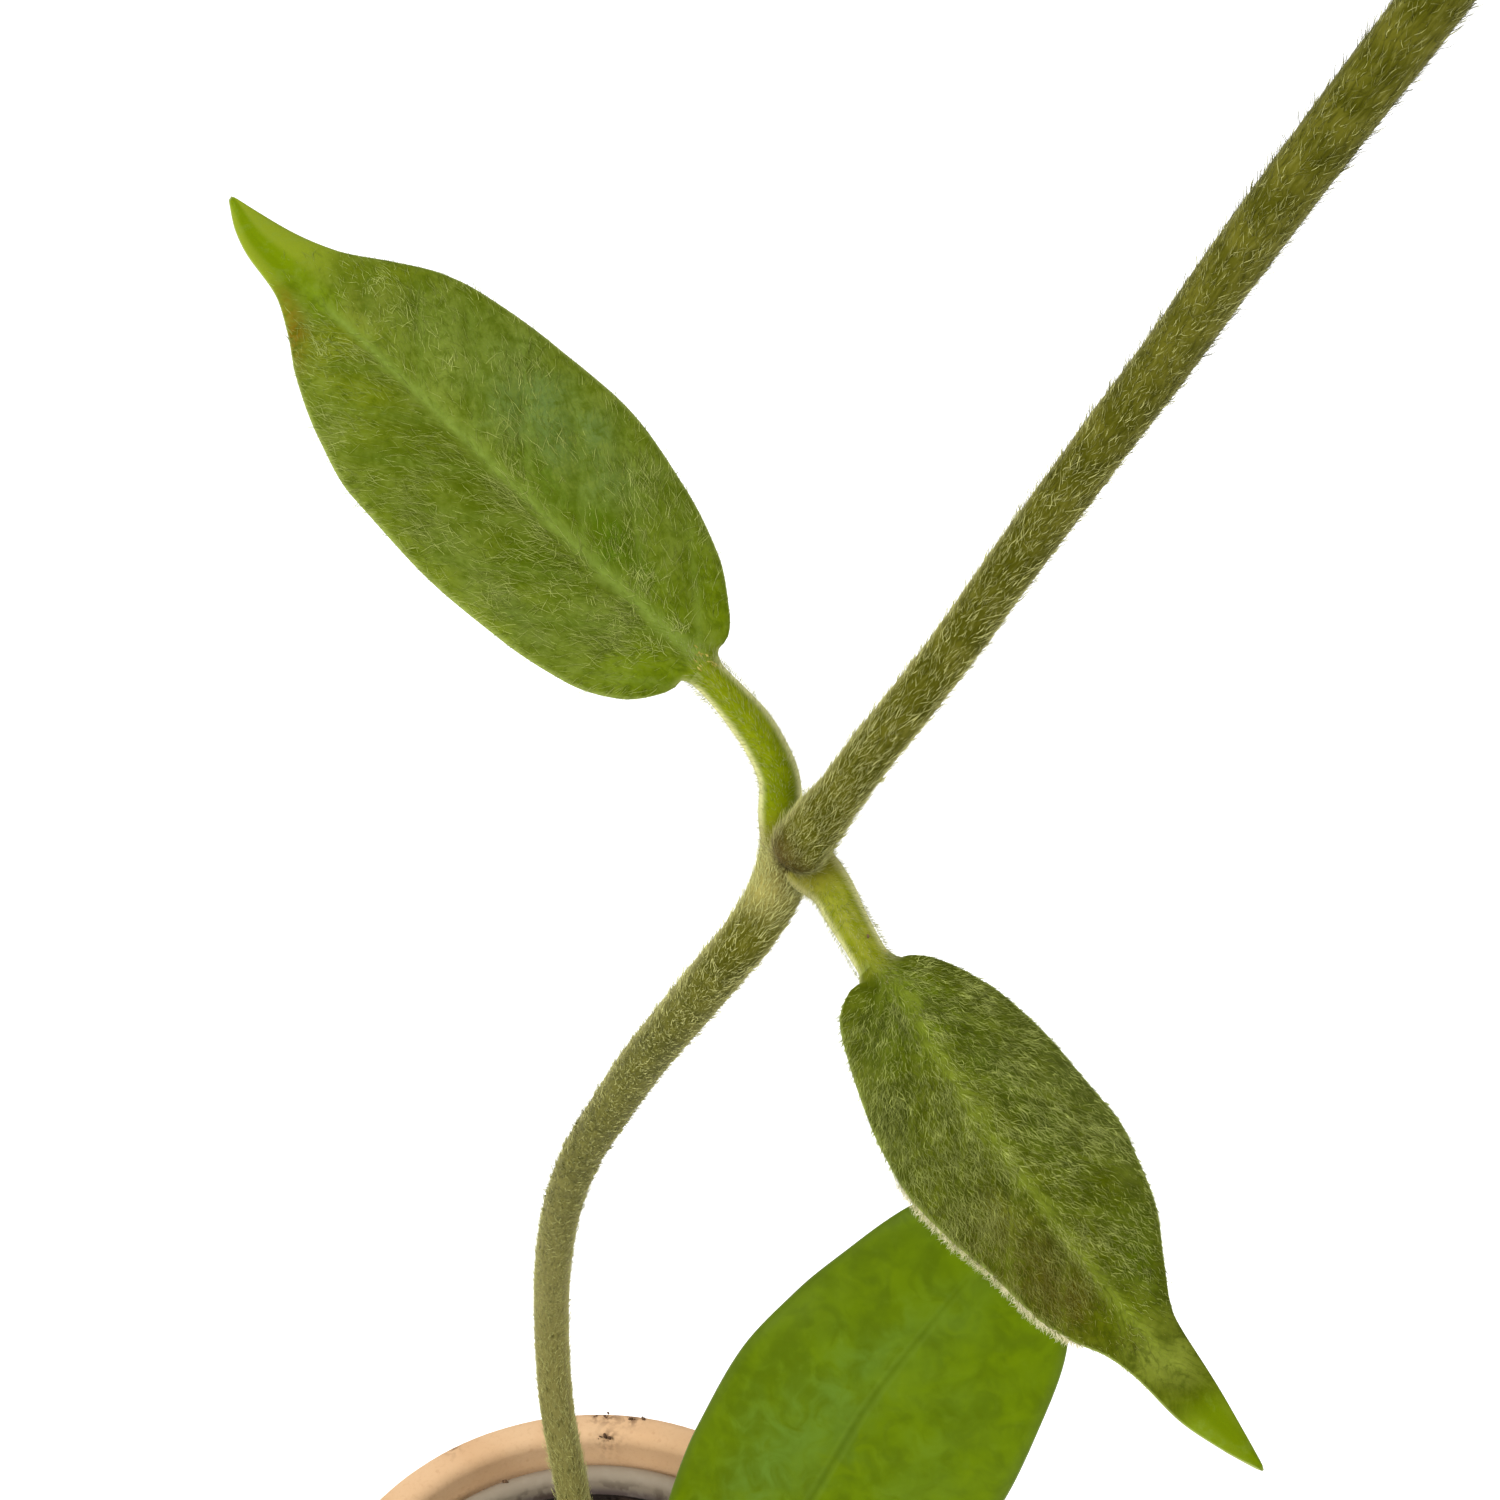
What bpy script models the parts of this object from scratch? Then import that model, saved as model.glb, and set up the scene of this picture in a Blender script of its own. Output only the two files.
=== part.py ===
"""A young hoya vine in a clay pot with a nursery liner.

Lengths below are in millimetres, and each mesh is scaled to metres as it is made. The origin is the
centre of the pot's flat underside, +Z is up and +Y points away from the viewer. A leaf is described in
its own directions: along it from base to tip, out of its upper face, and to its right, looking along it
with the upper face up.
"""

import math
import random
from dataclasses import dataclass

import bmesh
import bpy
import numpy as np
from mathutils import Euler, Matrix, Vector, noise

METRES = 0.001
GAP = 0.3

# Driving dimensions
POT_HEIGHT = 62.0
POT_RIM_RADIUS = 35.5
POT_FOOT_RADIUS = 25.5
POT_LIP = 4.8
POT_LIP_ROUNDING = 0.36
POT_FLOOR = 6.0
LINER_DROP = 3.8
LINER_LIP = 2.8
LINER_WALL = 1.0
LINER_FLOOR = 1.2
SOIL_DROP = 2.4
SOIL_BUMP = 0.7
SOIL_RINGS = 8
SOIL_SECTORS = 36
CHIP_COUNT = 26
CHIP_LENGTHS = (4.0, 7.5)
CHIP_WIDTHS = (2.6, 4.4)
CHIP_THICKNESSES = (1.4, 2.2)
CHIP_TILT = 0.3
CHIP_CLEAR_OF_STEM = 10.5
CHIP_CLEAR_OF_WALL = 5.5
STEM_RADIUS = 2.08
YOUNG_PETIOLE_RADIUS = 1.8
MATURE_PETIOLE_RADIUS = 1.7
TURNED_STEPS = 48
BAR_SPACING = 4.2
BAR_SMOOTHNESS = 3
DOME_ANGLES = (24, 52, 76)

# Worked out from them
POT_INNER_RADIUS = POT_RIM_RADIUS - POT_LIP
POT_INNER_SLOPE = 1 / 6
LINER_TOP = POT_HEIGHT - LINER_DROP
SOIL_TOP = LINER_TOP - SOIL_DROP


def pot_inner_radius(height):
    return POT_INNER_RADIUS - (POT_HEIGHT - height) * POT_INNER_SLOPE


def liner_inner_radius(height):
    return pot_inner_radius(height) - GAP - LINER_LIP


# The stem's centre line from inside the soil to the node of the young pair, and on to the growing tip.
LOWER_STEM = [
    (1.6, 5.0, 36.0), (1.2, 6.2, 50.0), (0.4, 8.3, 60.0), (-1.6, 11.8, 74.6),
    (-3.2, 14.6, 87.9), (-3.3, 14.9, 97.0), (-2.8, 13.0, 108.0), (-1.5, 8.3, 121.8),
    (0.5, 2.9, 135.1), (3.3, -3.2, 148.0), (7.2, -10.6, 161.7), (11.3, -18.0, 175.1),
    (15.4, -24.4, 186.6), (18.6, -28.3, 194.7), (21.0, -29.9, 199.8), (23.0, -29.4, 203.6),
    (23.9, -28.4, 206.0), (24.2, -27.6, 207.8),
]
UPPER_STEM = [
    (24.6, -30.5, 208.4), (26.3, -30.3, 211.3), (28.7, -29.6, 214.7), (30.5, -28.9, 217.3),
    (33.1, -28.4, 221.0), (37.2, -28.7, 228.0), (40.6, -30.1, 235.3), (44.1, -32.1, 243.0),
    (47.2, -34.4, 250.2), (50.0, -37.0, 257.0), (52.3, -39.8, 263.5), (56.5, -45.3, 275.2),
    (60.9, -50.2, 286.3), (65.0, -54.6, 297.0), (69.0, -58.6, 308.5), (72.8, -61.6, 321.0),
    (75.8, -63.4, 334.0), (77.6, -63.6, 346.0), (78.4, -62.4, 357.0), (78.6, -61.2, 364.0),
]
# Distance along each stretch and its radius there, as a share of STEM_RADIUS.
LOWER_GIRTH = [
    (0, 0.95), (22, 1.0), (26, 1.16), (31, 1.0), (150, 1.02), (178, 1.05), (186, 1.12), (193, 1.05),
]
UPPER_GIRTH = [
    (0, 1.16), (2.5, 1.1), (7, 0.94), (40, 0.93), (88, 0.93), (108, 0.9), (112, 1.05), (117, 0.84),
    (150, 0.52), (159, 0.4), (163, 0.6), (166, 0.5), (169, 0.2),
]


@dataclass
class Leaf:
    """One leaf. Half widths, sway and rise are distances from the straight line between base and tip."""

    name: str
    base: tuple
    tip: tuple
    face: tuple
    right: list
    left: list
    sway: list
    rise: list
    petiole: list
    petiole_radius: float
    fold: float = 0.2
    roll: float = 0.25
    lobe: float = 1.5
    wave: float = 0.25
    waves: float = 3.0
    thickness: float = 1.2
    rows: int = 24
    material: str = "young leaf"


YOUNG_LEFT = Leaf(
    name="leaf_young_left",
    base=(16.6, -17.5, 219.3),
    tip=(-25.0, 14.3, 247.3),
    face=(0.126, -0.557, 0.821),
    right=[(0, 1.8), (0.01, 3.4), (0.04, 5.4), (0.1, 8.0), (0.2, 10.1), (0.36, 11.4), (0.5, 10.9),
           (0.63, 9.4), (0.69, 8.1), (0.75, 5.9), (0.82, 3.1), (0.89, 1.5), (0.95, 0.7), (1, 0.3)],
    left=[(0, 2.2), (0.01, 4.6), (0.04, 7.4), (0.1, 9.9), (0.2, 11.5), (0.37, 12.3), (0.5, 12.1),
          (0.6, 10.5), (0.7, 7.9), (0.76, 5.7), (0.82, 4.0), (0.9, 3.0), (0.95, 1.9), (1, 0.3)],
    sway=[(0, 0), (0.28, -0.5), (0.5, -0.7), (0.65, -0.9), (0.8, -1.4), (0.9, -1.5), (1, 0)],
    rise=[(0, 0), (0.3, 1.2), (0.55, 1.6), (0.8, 1.4), (1, 0)],
    petiole=[(23.9, -27.9, 207.3), (23.5, -26.7, 209.9), (23.5, -25.2, 212.0), (22.0, -22.8, 214.8),
             (19.3, -20.0, 217.1), (16.6, -17.9, 218.6)],
    petiole_radius=YOUNG_PETIOLE_RADIUS,
    fold=0.24,
    roll=0.22,
    lobe=0.9,
)
YOUNG_RIGHT = Leaf(
    name="leaf_young_right",
    base=(32.2, -36.5, 201.0),
    tip=(60.0, -70.5, 180.3),
    face=(0.071, -0.476, 0.877),
    right=[(0, 1.9), (0.01, 3.8), (0.04, 5.8), (0.1, 7.2), (0.17, 8.4), (0.25, 9.5), (0.34, 10.1),
           (0.43, 9.5), (0.52, 8.4), (0.61, 7.8), (0.67, 6.7), (0.73, 4.9), (0.78, 4.1), (0.86, 3.4),
           (0.94, 1.8), (1, 0.3)],
    left=[(0, 1.2), (0.01, 2.6), (0.04, 4.4), (0.09, 5.8), (0.16, 6.9), (0.29, 7.8), (0.41, 7.9),
          (0.51, 6.8), (0.58, 5.7), (0.66, 3.4), (0.74, 1.3), (0.82, 0.8), (0.89, 0.6), (0.955, 0.4),
          (1, 0.3)],
    sway=[(0, 0), (0.12, 0.2), (0.22, 0.9), (0.38, 1.5), (0.6, 1.5), (0.86, 1.1), (0.94, 0.5), (1, 0)],
    rise=[(0, 0), (0.3, 1.0), (0.6, 1.6), (0.8, 1.6), (1, 0)],
    petiole=[(25.9, -29.4, 206.6), (27.7, -31.0, 205.5), (29.1, -32.9, 203.7), (30.2, -34.3, 202.4),
             (31.3, -35.7, 201.0), (32.6, -37.0, 200.0)],
    petiole_radius=YOUNG_PETIOLE_RADIUS,
    fold=0.22,
    roll=0.26,
    lobe=0.8,
)
MATURE_RIGHT = Leaf(
    name="leaf_mature_right",
    base=(16.7, -6.9, 68.9),
    tip=(60.3, 13.2, 134.2),
    face=(-0.281, -0.848, 0.449),
    right=[(0, 2.2), (0.01, 5.2), (0.04, 9.4), (0.09, 12.8), (0.2, 16.2), (0.35, 17.4), (0.48, 16.6),
           (0.62, 14.4), (0.7, 12.6), (0.78, 9.3), (0.86, 5.2), (0.93, 2.2), (1, 0.4)],
    left=[(0, 2.2), (0.01, 5.2), (0.04, 9.4), (0.09, 12.8), (0.15, 15.0), (0.27, 17.4), (0.42, 18.5),
          (0.54, 17.3), (0.63, 15.6), (0.75, 12.7), (0.82, 8.9), (0.89, 4.8), (0.95, 2.0), (1, 0.4)],
    sway=[(0, 0), (0.3, -1.4), (0.5, -2.7), (0.68, -2.3), (0.85, -1.0), (1, 0)],
    rise=[(0, 0), (0.3, 1.2), (0.6, 1.4), (0.85, 0.8), (1, 0)],
    petiole=[(0.8, 8.0, 60.2), (5.0, 2.8, 61.2), (10.4, -4.2, 62.8), (14.4, -7.4, 65.6), (16.9, -6.2, 69.0),
             (18.6, -4.8, 71.6)],
    petiole_radius=MATURE_PETIOLE_RADIUS,
    fold=0.12,
    roll=0.18,
    lobe=2.4,
    wave=0.45,
    waves=3.5,
    thickness=1.6,
    material="mature leaf",
)
MATURE_LEFT = Leaf(
    name="leaf_mature_left",
    base=(-14.0, -4.6, 67.8),
    tip=(-71.0, -47.0, 80.0),
    face=(0.1, 0.05, 1.0),
    right=[(0, 2.2), (0.01, 5.0), (0.04, 9.0), (0.1, 12.8), (0.2, 15.6), (0.36, 17.2), (0.52, 16.0),
           (0.66, 12.6), (0.78, 8.2), (0.87, 4.2), (0.94, 1.8), (1, 0.4)],
    left=[(0, 2.2), (0.01, 5.0), (0.04, 8.8), (0.1, 12.4), (0.2, 15.2), (0.38, 16.8), (0.54, 15.4),
          (0.68, 12.0), (0.8, 7.4), (0.88, 3.9), (0.95, 1.6), (1, 0.4)],
    sway=[(0, 0), (0.4, 1.2), (0.7, 1.0), (1, 0)],
    rise=[(0, 0), (0.25, 4.6), (0.5, 6.6), (0.75, 5.2), (1, 0)],
    petiole=[(-0.2, 8.6, 60.2), (-4.6, 5.4, 61.4), (-9.6, 0.4, 63.8), (-13.0, -3.4, 66.6),
             (-16.4, -6.4, 68.8)],
    petiole_radius=MATURE_PETIOLE_RADIUS,
    fold=0.14,
    roll=0.2,
    lobe=2.2,
    wave=0.45,
    waves=3.0,
    thickness=1.6,
    material="mature leaf",
)
UPPER_FRONT = Leaf(
    name="leaf_upper_front",
    base=(63.4, -66.4, 313.2),
    tip=(56.2, -87.4, 328.2),
    face=(-0.1, 0.55, 0.83),
    right=[(0, 0.8), (0.02, 1.9), (0.07, 3.2), (0.14, 4.1), (0.3, 5.1), (0.5, 4.7), (0.7, 2.7), (0.82, 1.3),
           (1, 0.25)],
    left=[(0, 0.8), (0.02, 1.9), (0.07, 3.2), (0.14, 4.2), (0.32, 5.2), (0.5, 4.6), (0.68, 2.9), (0.82, 1.3),
          (1, 0.25)],
    sway=[(0, 0), (0.5, 0.4), (1, 0)],
    rise=[(0, 0), (0.5, 0.8), (1, 0)],
    petiole=[(68.6, -59.6, 308.2), (66.8, -62.2, 309.8), (65.0, -64.6, 311.8), (63.2, -67.0, 313.2)],
    petiole_radius=1.15,
    lobe=0.6,
    wave=0.12,
    thickness=0.9,
    rows=15,
)
UPPER_BACK = Leaf(
    name="leaf_upper_back",
    base=(75.4, -52.6, 313.4),
    tip=(90.4, -42.6, 327.2),
    face=(-0.45, -0.45, 0.77),
    right=[(0, 0.8), (0.02, 1.7), (0.07, 2.9), (0.14, 3.7), (0.3, 4.6), (0.5, 4.2), (0.7, 2.4), (0.82, 1.2),
           (1, 0.25)],
    left=[(0, 0.8), (0.02, 1.7), (0.07, 2.9), (0.14, 3.8), (0.32, 4.7), (0.5, 4.1), (0.68, 2.6), (0.82, 1.2),
          (1, 0.25)],
    sway=[(0, 0), (0.5, -0.4), (1, 0)],
    rise=[(0, 0), (0.5, 0.7), (1, 0)],
    petiole=[(69.4, -57.6, 308.6), (71.6, -55.8, 309.8), (73.6, -54.2, 311.6), (75.6, -52.6, 313.0)],
    petiole_radius=1.1,
    lobe=0.6,
    wave=0.12,
    thickness=0.9,
    rows=15,
)
LEAVES = [YOUNG_LEFT, YOUNG_RIGHT, MATURE_RIGHT, MATURE_LEFT, UPPER_FRONT, UPPER_BACK]

# Places across a blade, from the left margin at -1 to the right margin at 1.
ACROSS = np.array([-1, -0.82, -0.58, -0.34, -0.14, 0, 0.14, 0.34, 0.58, 0.82, 1])
RIB_WIDTH = 1.1
RIB_DEPTH = 0.7
GROOVE_DEPTH = 0.2
MARGIN_THINNING = 0.4
END_CROWDING = 0.5
# Share of the petiole's length from the stem, and share of its radius there.
PETIOLE_TAPER = [(0, 1.08), (0.3, 0.98), (0.75, 0.92), (1, 0.5)]

# Name: colour, roughness
FINISHES = {
    "clay": ((0.80, 0.52, 0.34), 0.6),
    "liner": ((0.42, 0.39, 0.42), 0.5),
    "soil": ((0.035, 0.024, 0.018), 0.95),
    "stem": ((0.20, 0.17, 0.05), 0.75),
    "young leaf": ((0.10, 0.19, 0.02), 0.6),
    "mature leaf": ((0.13, 0.27, 0.01), 0.35),
}


def clear_scene():
    for obj in list(bpy.data.objects):
        bpy.data.objects.remove(obj)


def material(name):
    found = bpy.data.materials.get(name)
    if found:
        return found
    colour, roughness = FINISHES[name]
    made = bpy.data.materials.new(name)
    made.use_nodes = True
    shader = made.node_tree.nodes["Principled BSDF"]
    shader.inputs["Base Color"].default_value = (*colour, 1)
    shader.inputs["Roughness"].default_value = roughness
    shader.inputs["Metallic"].default_value = 0
    return made


def add_object(name, mesh, finish):
    mesh.materials.clear()
    mesh.materials.append(material(finish))
    mesh.shade_smooth()
    mesh.set_sharp_from_angle(angle=math.radians(40))
    obj = bpy.data.objects.new(name, mesh)
    bpy.context.scene.collection.objects.link(obj)
    return obj


def add_mesh(name, points, faces, finish):
    mesh = bpy.data.meshes.new(name)
    mesh.from_pydata((np.asarray(points) * METRES).tolist(), [], faces)
    return add_object(name, mesh, finish)


def applied(obj):
    """The object with its modifiers applied, or a curve as its mesh, under the same name."""
    name = obj.name
    finish = obj.data.materials[0].name
    graph = bpy.context.evaluated_depsgraph_get()
    mesh = bpy.data.meshes.new_from_object(obj.evaluated_get(graph))
    bpy.data.objects.remove(obj)
    return add_object(name, mesh, finish)


def combined(obj, others, operation):
    """The object joined with, or cut by, the others, which are removed."""
    helpers = bpy.data.collections.new("helpers")
    for other in others:
        helpers.objects.link(other)
    change = obj.modifiers.new(operation.title(), "BOOLEAN")
    change.operation = operation
    change.operand_type = "COLLECTION"
    change.collection = helpers
    change.solver = "EXACT"
    made = applied(obj)
    for other in others:
        bpy.data.objects.remove(other)
    bpy.data.collections.remove(helpers)
    return made


def unit(vector):
    return np.array(vector, float) / np.linalg.norm(vector)


def through(points, at):
    """A smooth curve through (place, value) points that never swings past them."""
    place, value = np.array(points, float).T
    step = np.diff(place)
    slope = np.diff(value) / step
    before, after = slope[:-1], slope[1:]
    same_way = before * after > 0
    tangent = np.concatenate([slope[:1], np.zeros(len(place) - 2), slope[-1:]])
    tangent[1:-1][same_way] = (2 * before * after)[same_way] / (before + after)[same_way]
    at = np.clip(at, place[0], place[-1])
    i = np.clip(np.searchsorted(place, at, side="right") - 1, 0, len(step) - 1)
    u = (at - place[i]) / step[i]
    return (
        value[i] * (1 + 2 * u) * (1 - u) ** 2
        + value[i + 1] * u**2 * (3 - 2 * u)
        + step[i] * (tangent[i] * u * (1 - u) ** 2 - tangent[i + 1] * u**2 * (1 - u))
    )


def smooth_route(points, spacing):
    """Evenly spaced points of a smooth curve through the given ones, and how far along each lies."""
    points = np.array(points, float)
    steps = np.linalg.norm(np.diff(points, axis=0), axis=1)
    places = np.concatenate([[0], np.cumsum(steps)])
    count = max(4, round(places[-1] / spacing))
    at = np.linspace(0, places[-1], count + 1)
    tangent = np.gradient(points, places, axis=0)
    i = np.clip(np.searchsorted(places, at, side="right") - 1, 0, len(steps) - 1)
    length = steps[i][:, None]
    u = ((at - places[i]) / steps[i])[:, None]
    curve = (
        points[i] * (1 + 2 * u) * (1 - u) ** 2
        + points[i + 1] * u**2 * (3 - 2 * u)
        + length * (tangent[i] * u * (1 - u) ** 2 - tangent[i + 1] * u**2 * (1 - u))
    )
    return curve, at


def bar(name, points, girth, finish, spacing=BAR_SPACING, widen=0.0):
    """A round bar along the points, with rounded ends. girth lists (distance along, radius)."""
    route, at = smooth_route(points, spacing)
    radius = through(girth, at) + widen
    first, last = radius[0], radius[-1]
    start_way, end_way = unit(route[0] - route[1]), unit(route[-1] - route[-2])
    dome = [(math.cos(angle), math.sin(angle)) for angle in np.radians(DOME_ANGLES)]
    rings = [(route[0] + start_way * first * out, first * share) for out, share in dome]
    rings += list(zip(route, radius))
    rings += [(route[-1] + end_way * last * out, last * share) for out, share in reversed(dome)]
    curve = bpy.data.curves.new(name, "CURVE")
    curve.dimensions = "3D"
    curve.bevel_depth = METRES
    curve.bevel_resolution = BAR_SMOOTHNESS
    curve.use_fill_caps = True
    curve.materials.append(material(finish))
    spline = curve.splines.new("POLY")
    spline.points.add(len(rings) - 1)
    for point, (place, size) in zip(spline.points, rings):
        point.co = (*(place * METRES), 1)
        point.radius = size
    obj = bpy.data.objects.new(name, curve)
    bpy.context.scene.collection.objects.link(obj)
    return applied(obj)


def leaf_axes(leaf):
    """The leaf's length, and its directions along, to the right and out of the upper face."""
    base, tip = np.array(leaf.base), np.array(leaf.tip)
    along = unit(tip - base)
    face = np.array(leaf.face) - np.dot(leaf.face, along) * along
    face = unit(face)
    return np.linalg.norm(tip - base), along, np.cross(along, face), face


def blade_points(leaf, t, s):
    """Points of the blade's middle surface, with t from base to tip, and how far each is from the midrib."""
    length, along, across, face = leaf_axes(leaf)
    midrib = through(leaf.sway, t)
    margin = np.where(s < 0, -through(leaf.left, t), through(leaf.right, t))
    half = np.abs(margin - midrib)
    out = np.abs(s)
    lobe = leaf.lobe * out**2 * np.clip(1 - t / 0.2, 0, 1) ** 2
    height = through(leaf.rise, t) + half * (leaf.fold * out - leaf.roll * out**2)
    height = height + leaf.wave * out**3 * np.sin(2 * np.pi * (leaf.waves * t + 0.25 * np.sign(s)))
    sideways = midrib + (margin - midrib) * out
    centre = np.array(leaf.base) + np.outer(length * t - lobe, along)
    return centre + np.outer(sideways, across) + np.outer(height, face), half * out


def blade(leaf):
    """The closed blade: an upper and a lower face split alike, and the edge round them."""
    face = leaf_axes(leaf)[3]
    columns = len(ACROSS)
    even = np.linspace(0, 1, leaf.rows + 1)
    crowded = even - END_CROWDING * np.sin(2 * np.pi * even) / (2 * np.pi)
    t, s = (grid.ravel() for grid in np.meshgrid(crowded, ACROSS, indexing="ij"))
    middle, off = blade_points(leaf, t, s)
    thickness = leaf.thickness * (1 - MARGIN_THINNING * np.abs(s))
    rib = np.exp(-((off / RIB_WIDTH) ** 2)) * np.clip(1.1 - t, 0, 1) * leaf.thickness
    upper = middle + np.outer(thickness / 2 - GROOVE_DEPTH * rib, face)
    lower = middle - np.outer(thickness / 2 + RIB_DEPTH * rib, face)
    faces = []
    under = len(upper)
    for row in range(leaf.rows):
        for column in range(columns - 1):
            a = row * columns + column
            b, c, d = a + 1, a + columns + 1, a + columns
            faces += [(a, b, c), (a, c, d)]
            faces += [(under + a, under + c, under + b), (under + a, under + d, under + c)]
    rim = list(range(columns)) + [row * columns + columns - 1 for row in range(1, leaf.rows + 1)]
    rim += [leaf.rows * columns + column for column in range(columns - 2, -1, -1)]
    rim += [row * columns for row in range(leaf.rows - 1, 0, -1)]
    for a, b in zip(rim, rim[1:] + rim[:1]):
        faces += [(b, a, under + a), (b, under + a, under + b)]
    return add_mesh(leaf.name, np.concatenate([upper, lower]), faces, leaf.material)


def stem_stretches(widen=0.0):
    """The stretches of the stem below and above the node of the young pair."""
    lower, upper = (
        [(place, share * STEM_RADIUS) for place, share in girth] for girth in (LOWER_GIRTH, UPPER_GIRTH)
    )
    return [
        bar("stem", LOWER_STEM, lower, "stem", widen=widen),
        bar("upper stretch", UPPER_STEM, upper, "stem", widen=widen),
    ]


def clear_of_stem(obj):
    return combined(obj, stem_stretches(widen=GAP), "DIFFERENCE")


def leaf_with_petiole(leaf):
    """The blade and its petiole in one piece. The petiole's foot is shaped to the stem."""
    length = np.linalg.norm(np.diff(np.array(leaf.petiole), axis=0), axis=1).sum()
    girth = [(place * length, share * leaf.petiole_radius) for place, share in PETIOLE_TAPER]
    petiole = bar("petiole", leaf.petiole, girth, leaf.material, spacing=leaf.petiole_radius)
    return clear_of_stem(combined(blade(leaf), [petiole], "UNION"))


def turned(name, profile, finish):
    """A solid turned about Z. The profile runs from the axis up the inside and down the outside."""
    mesh = bpy.data.meshes.new(name)
    points = [(radius * METRES, 0, height * METRES) for radius, height in profile]
    mesh.from_pydata(points, [(i, i + 1) for i in range(len(points) - 1)], [])
    mesh.materials.append(material(finish))
    obj = bpy.data.objects.new(name, mesh)
    bpy.context.scene.collection.objects.link(obj)
    turn = obj.modifiers.new("Turn", "SCREW")
    turn.steps = turn.render_steps = TURNED_STEPS
    turn.use_merge_vertices = True
    turn.merge_threshold = 0.00001
    return applied(obj)


def arc(centre, radius, start, end, steps):
    """Points of an arc, (radius, height) each, with angles in degrees from +X towards +Z."""
    angles = np.radians(np.linspace(start, end, steps + 1))
    return [(centre[0] + radius * math.cos(a), centre[1] + radius * math.sin(a)) for a in angles]


def clay_pot():
    edge = POT_LIP_ROUNDING * POT_LIP
    lip_height = POT_HEIGHT - edge
    floor_radius = pot_inner_radius(POT_FLOOR)
    profile = [(0, POT_FLOOR), (floor_radius - 1, POT_FLOOR), (floor_radius, POT_FLOOR + 1)]
    profile += arc((POT_INNER_RADIUS + edge, lip_height), edge, 180, 90, 4)
    profile += arc((POT_RIM_RADIUS - edge, lip_height), edge, 90, 0, 4)
    profile += [(POT_FOOT_RADIUS + 1, 3), (POT_FOOT_RADIUS, 1), (POT_FOOT_RADIUS - 1, 0), (0, 0)]
    return turned("clay_pot", profile, "clay")


def nursery_liner():
    lip = LINER_LIP / 2
    lip_centre = (pot_inner_radius(LINER_TOP) - GAP - lip, LINER_TOP - lip)
    wall_top = LINER_TOP - LINER_LIP
    inner_top = liner_inner_radius(wall_top)
    bottom = POT_FLOOR + GAP
    floor = bottom + LINER_FLOOR
    profile = [(0, floor), (liner_inner_radius(floor) - 1, floor), (liner_inner_radius(floor), floor + 1)]
    profile += [(inner_top, wall_top)]
    profile += arc(lip_centre, lip, 180, -60, 8)
    profile += [(inner_top + LINER_WALL, wall_top), (liner_inner_radius(bottom) + LINER_WALL, bottom + 1)]
    profile += [(liner_inner_radius(bottom) + LINER_WALL - 1, bottom), (0, bottom)]
    return turned("nursery_liner", profile, "liner")


def soil_height(x, y):
    """Height of the soil's bumpy surface."""
    coarse = noise.noise(Vector((x * 0.16, y * 0.16, 3.1)))
    fine = noise.noise(Vector((x * 0.5, y * 0.5, 7.7)))
    return SOIL_TOP + SOIL_BUMP * (coarse + 0.6 * fine)


def bark_chip(draw):
    """One flat chip of bark, half sunk in the soil and clear of the stem and the wall."""
    way = draw.uniform(0, 2 * math.pi)
    reach = draw.uniform(CHIP_CLEAR_OF_STEM, liner_inner_radius(SOIL_TOP) - CHIP_CLEAR_OF_WALL)
    x, y = reach * math.cos(way), reach * math.sin(way)
    sides = [draw.uniform(*sizes) for sizes in (CHIP_LENGTHS, CHIP_WIDTHS, CHIP_THICKNESSES)]
    tilts = [draw.uniform(-CHIP_TILT, CHIP_TILT) for _ in range(2)]
    turn = Euler((*tilts, draw.uniform(0, math.pi)))
    shape = bmesh.new()
    bmesh.ops.create_cube(shape, size=1, matrix=Matrix.Diagonal((*sides, 1)))
    for corner in shape.verts:
        corner.co.x *= draw.uniform(0.72, 1)
        corner.co.y *= draw.uniform(0.68, 1)
    place = Matrix.Translation((x, y, soil_height(x, y))) @ turn.to_matrix().to_4x4()
    bmesh.ops.transform(shape, matrix=Matrix.Scale(METRES, 4) @ place, verts=shape.verts)
    mesh = bpy.data.meshes.new("chip")
    shape.to_mesh(mesh)
    shape.free()
    return add_object("chip", mesh, "soil")


def soil():
    """A plug that fills the liner, with a bumpy top, chips of bark and a plain hole for the stem."""
    rings, sectors = SOIL_RINGS, SOIL_SECTORS
    bottom = POT_FLOOR + GAP + LINER_FLOOR + GAP
    top_radius = liner_inner_radius(SOIL_TOP) - GAP
    points = [(0, 0, soil_height(0, 0))]
    faces = []
    for ring in range(1, rings + 1):
        for sector in range(sectors):
            way = 2 * math.pi * sector / sectors
            x, y = (top_radius * ring / rings * f(way) for f in (math.cos, math.sin))
            points.append((x, y, soil_height(x, y) if ring < rings else SOIL_TOP))
    low_radius = liner_inner_radius(bottom + 1) - GAP - 1
    for sector in range(sectors):
        way = 2 * math.pi * sector / sectors
        points.append((low_radius * math.cos(way), low_radius * math.sin(way), bottom))
    for sector in range(sectors):
        beside = (sector + 1) % sectors
        faces.append((0, 1 + sector, 1 + beside))
        for ring in range(rings):
            inner, outer = 1 + ring * sectors, 1 + (ring + 1) * sectors
            faces.append((inner + sector, outer + sector, outer + beside, inner + beside))
    faces.append([1 + rings * sectors + sector for sector in reversed(range(sectors))])
    plug = add_mesh("soil", points, faces, "soil")
    draw = random.Random(4)
    plug = combined(plug, [bark_chip(draw) for _ in range(CHIP_COUNT)], "UNION")
    return clear_of_stem(plug)


def main():
    clear_scene()
    clay_pot()
    nursery_liner()
    soil()
    for leaf in LEAVES:
        leaf_with_petiole(leaf)
    lower, upper = stem_stretches()
    combined(lower, [upper], "UNION")


main()
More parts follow.
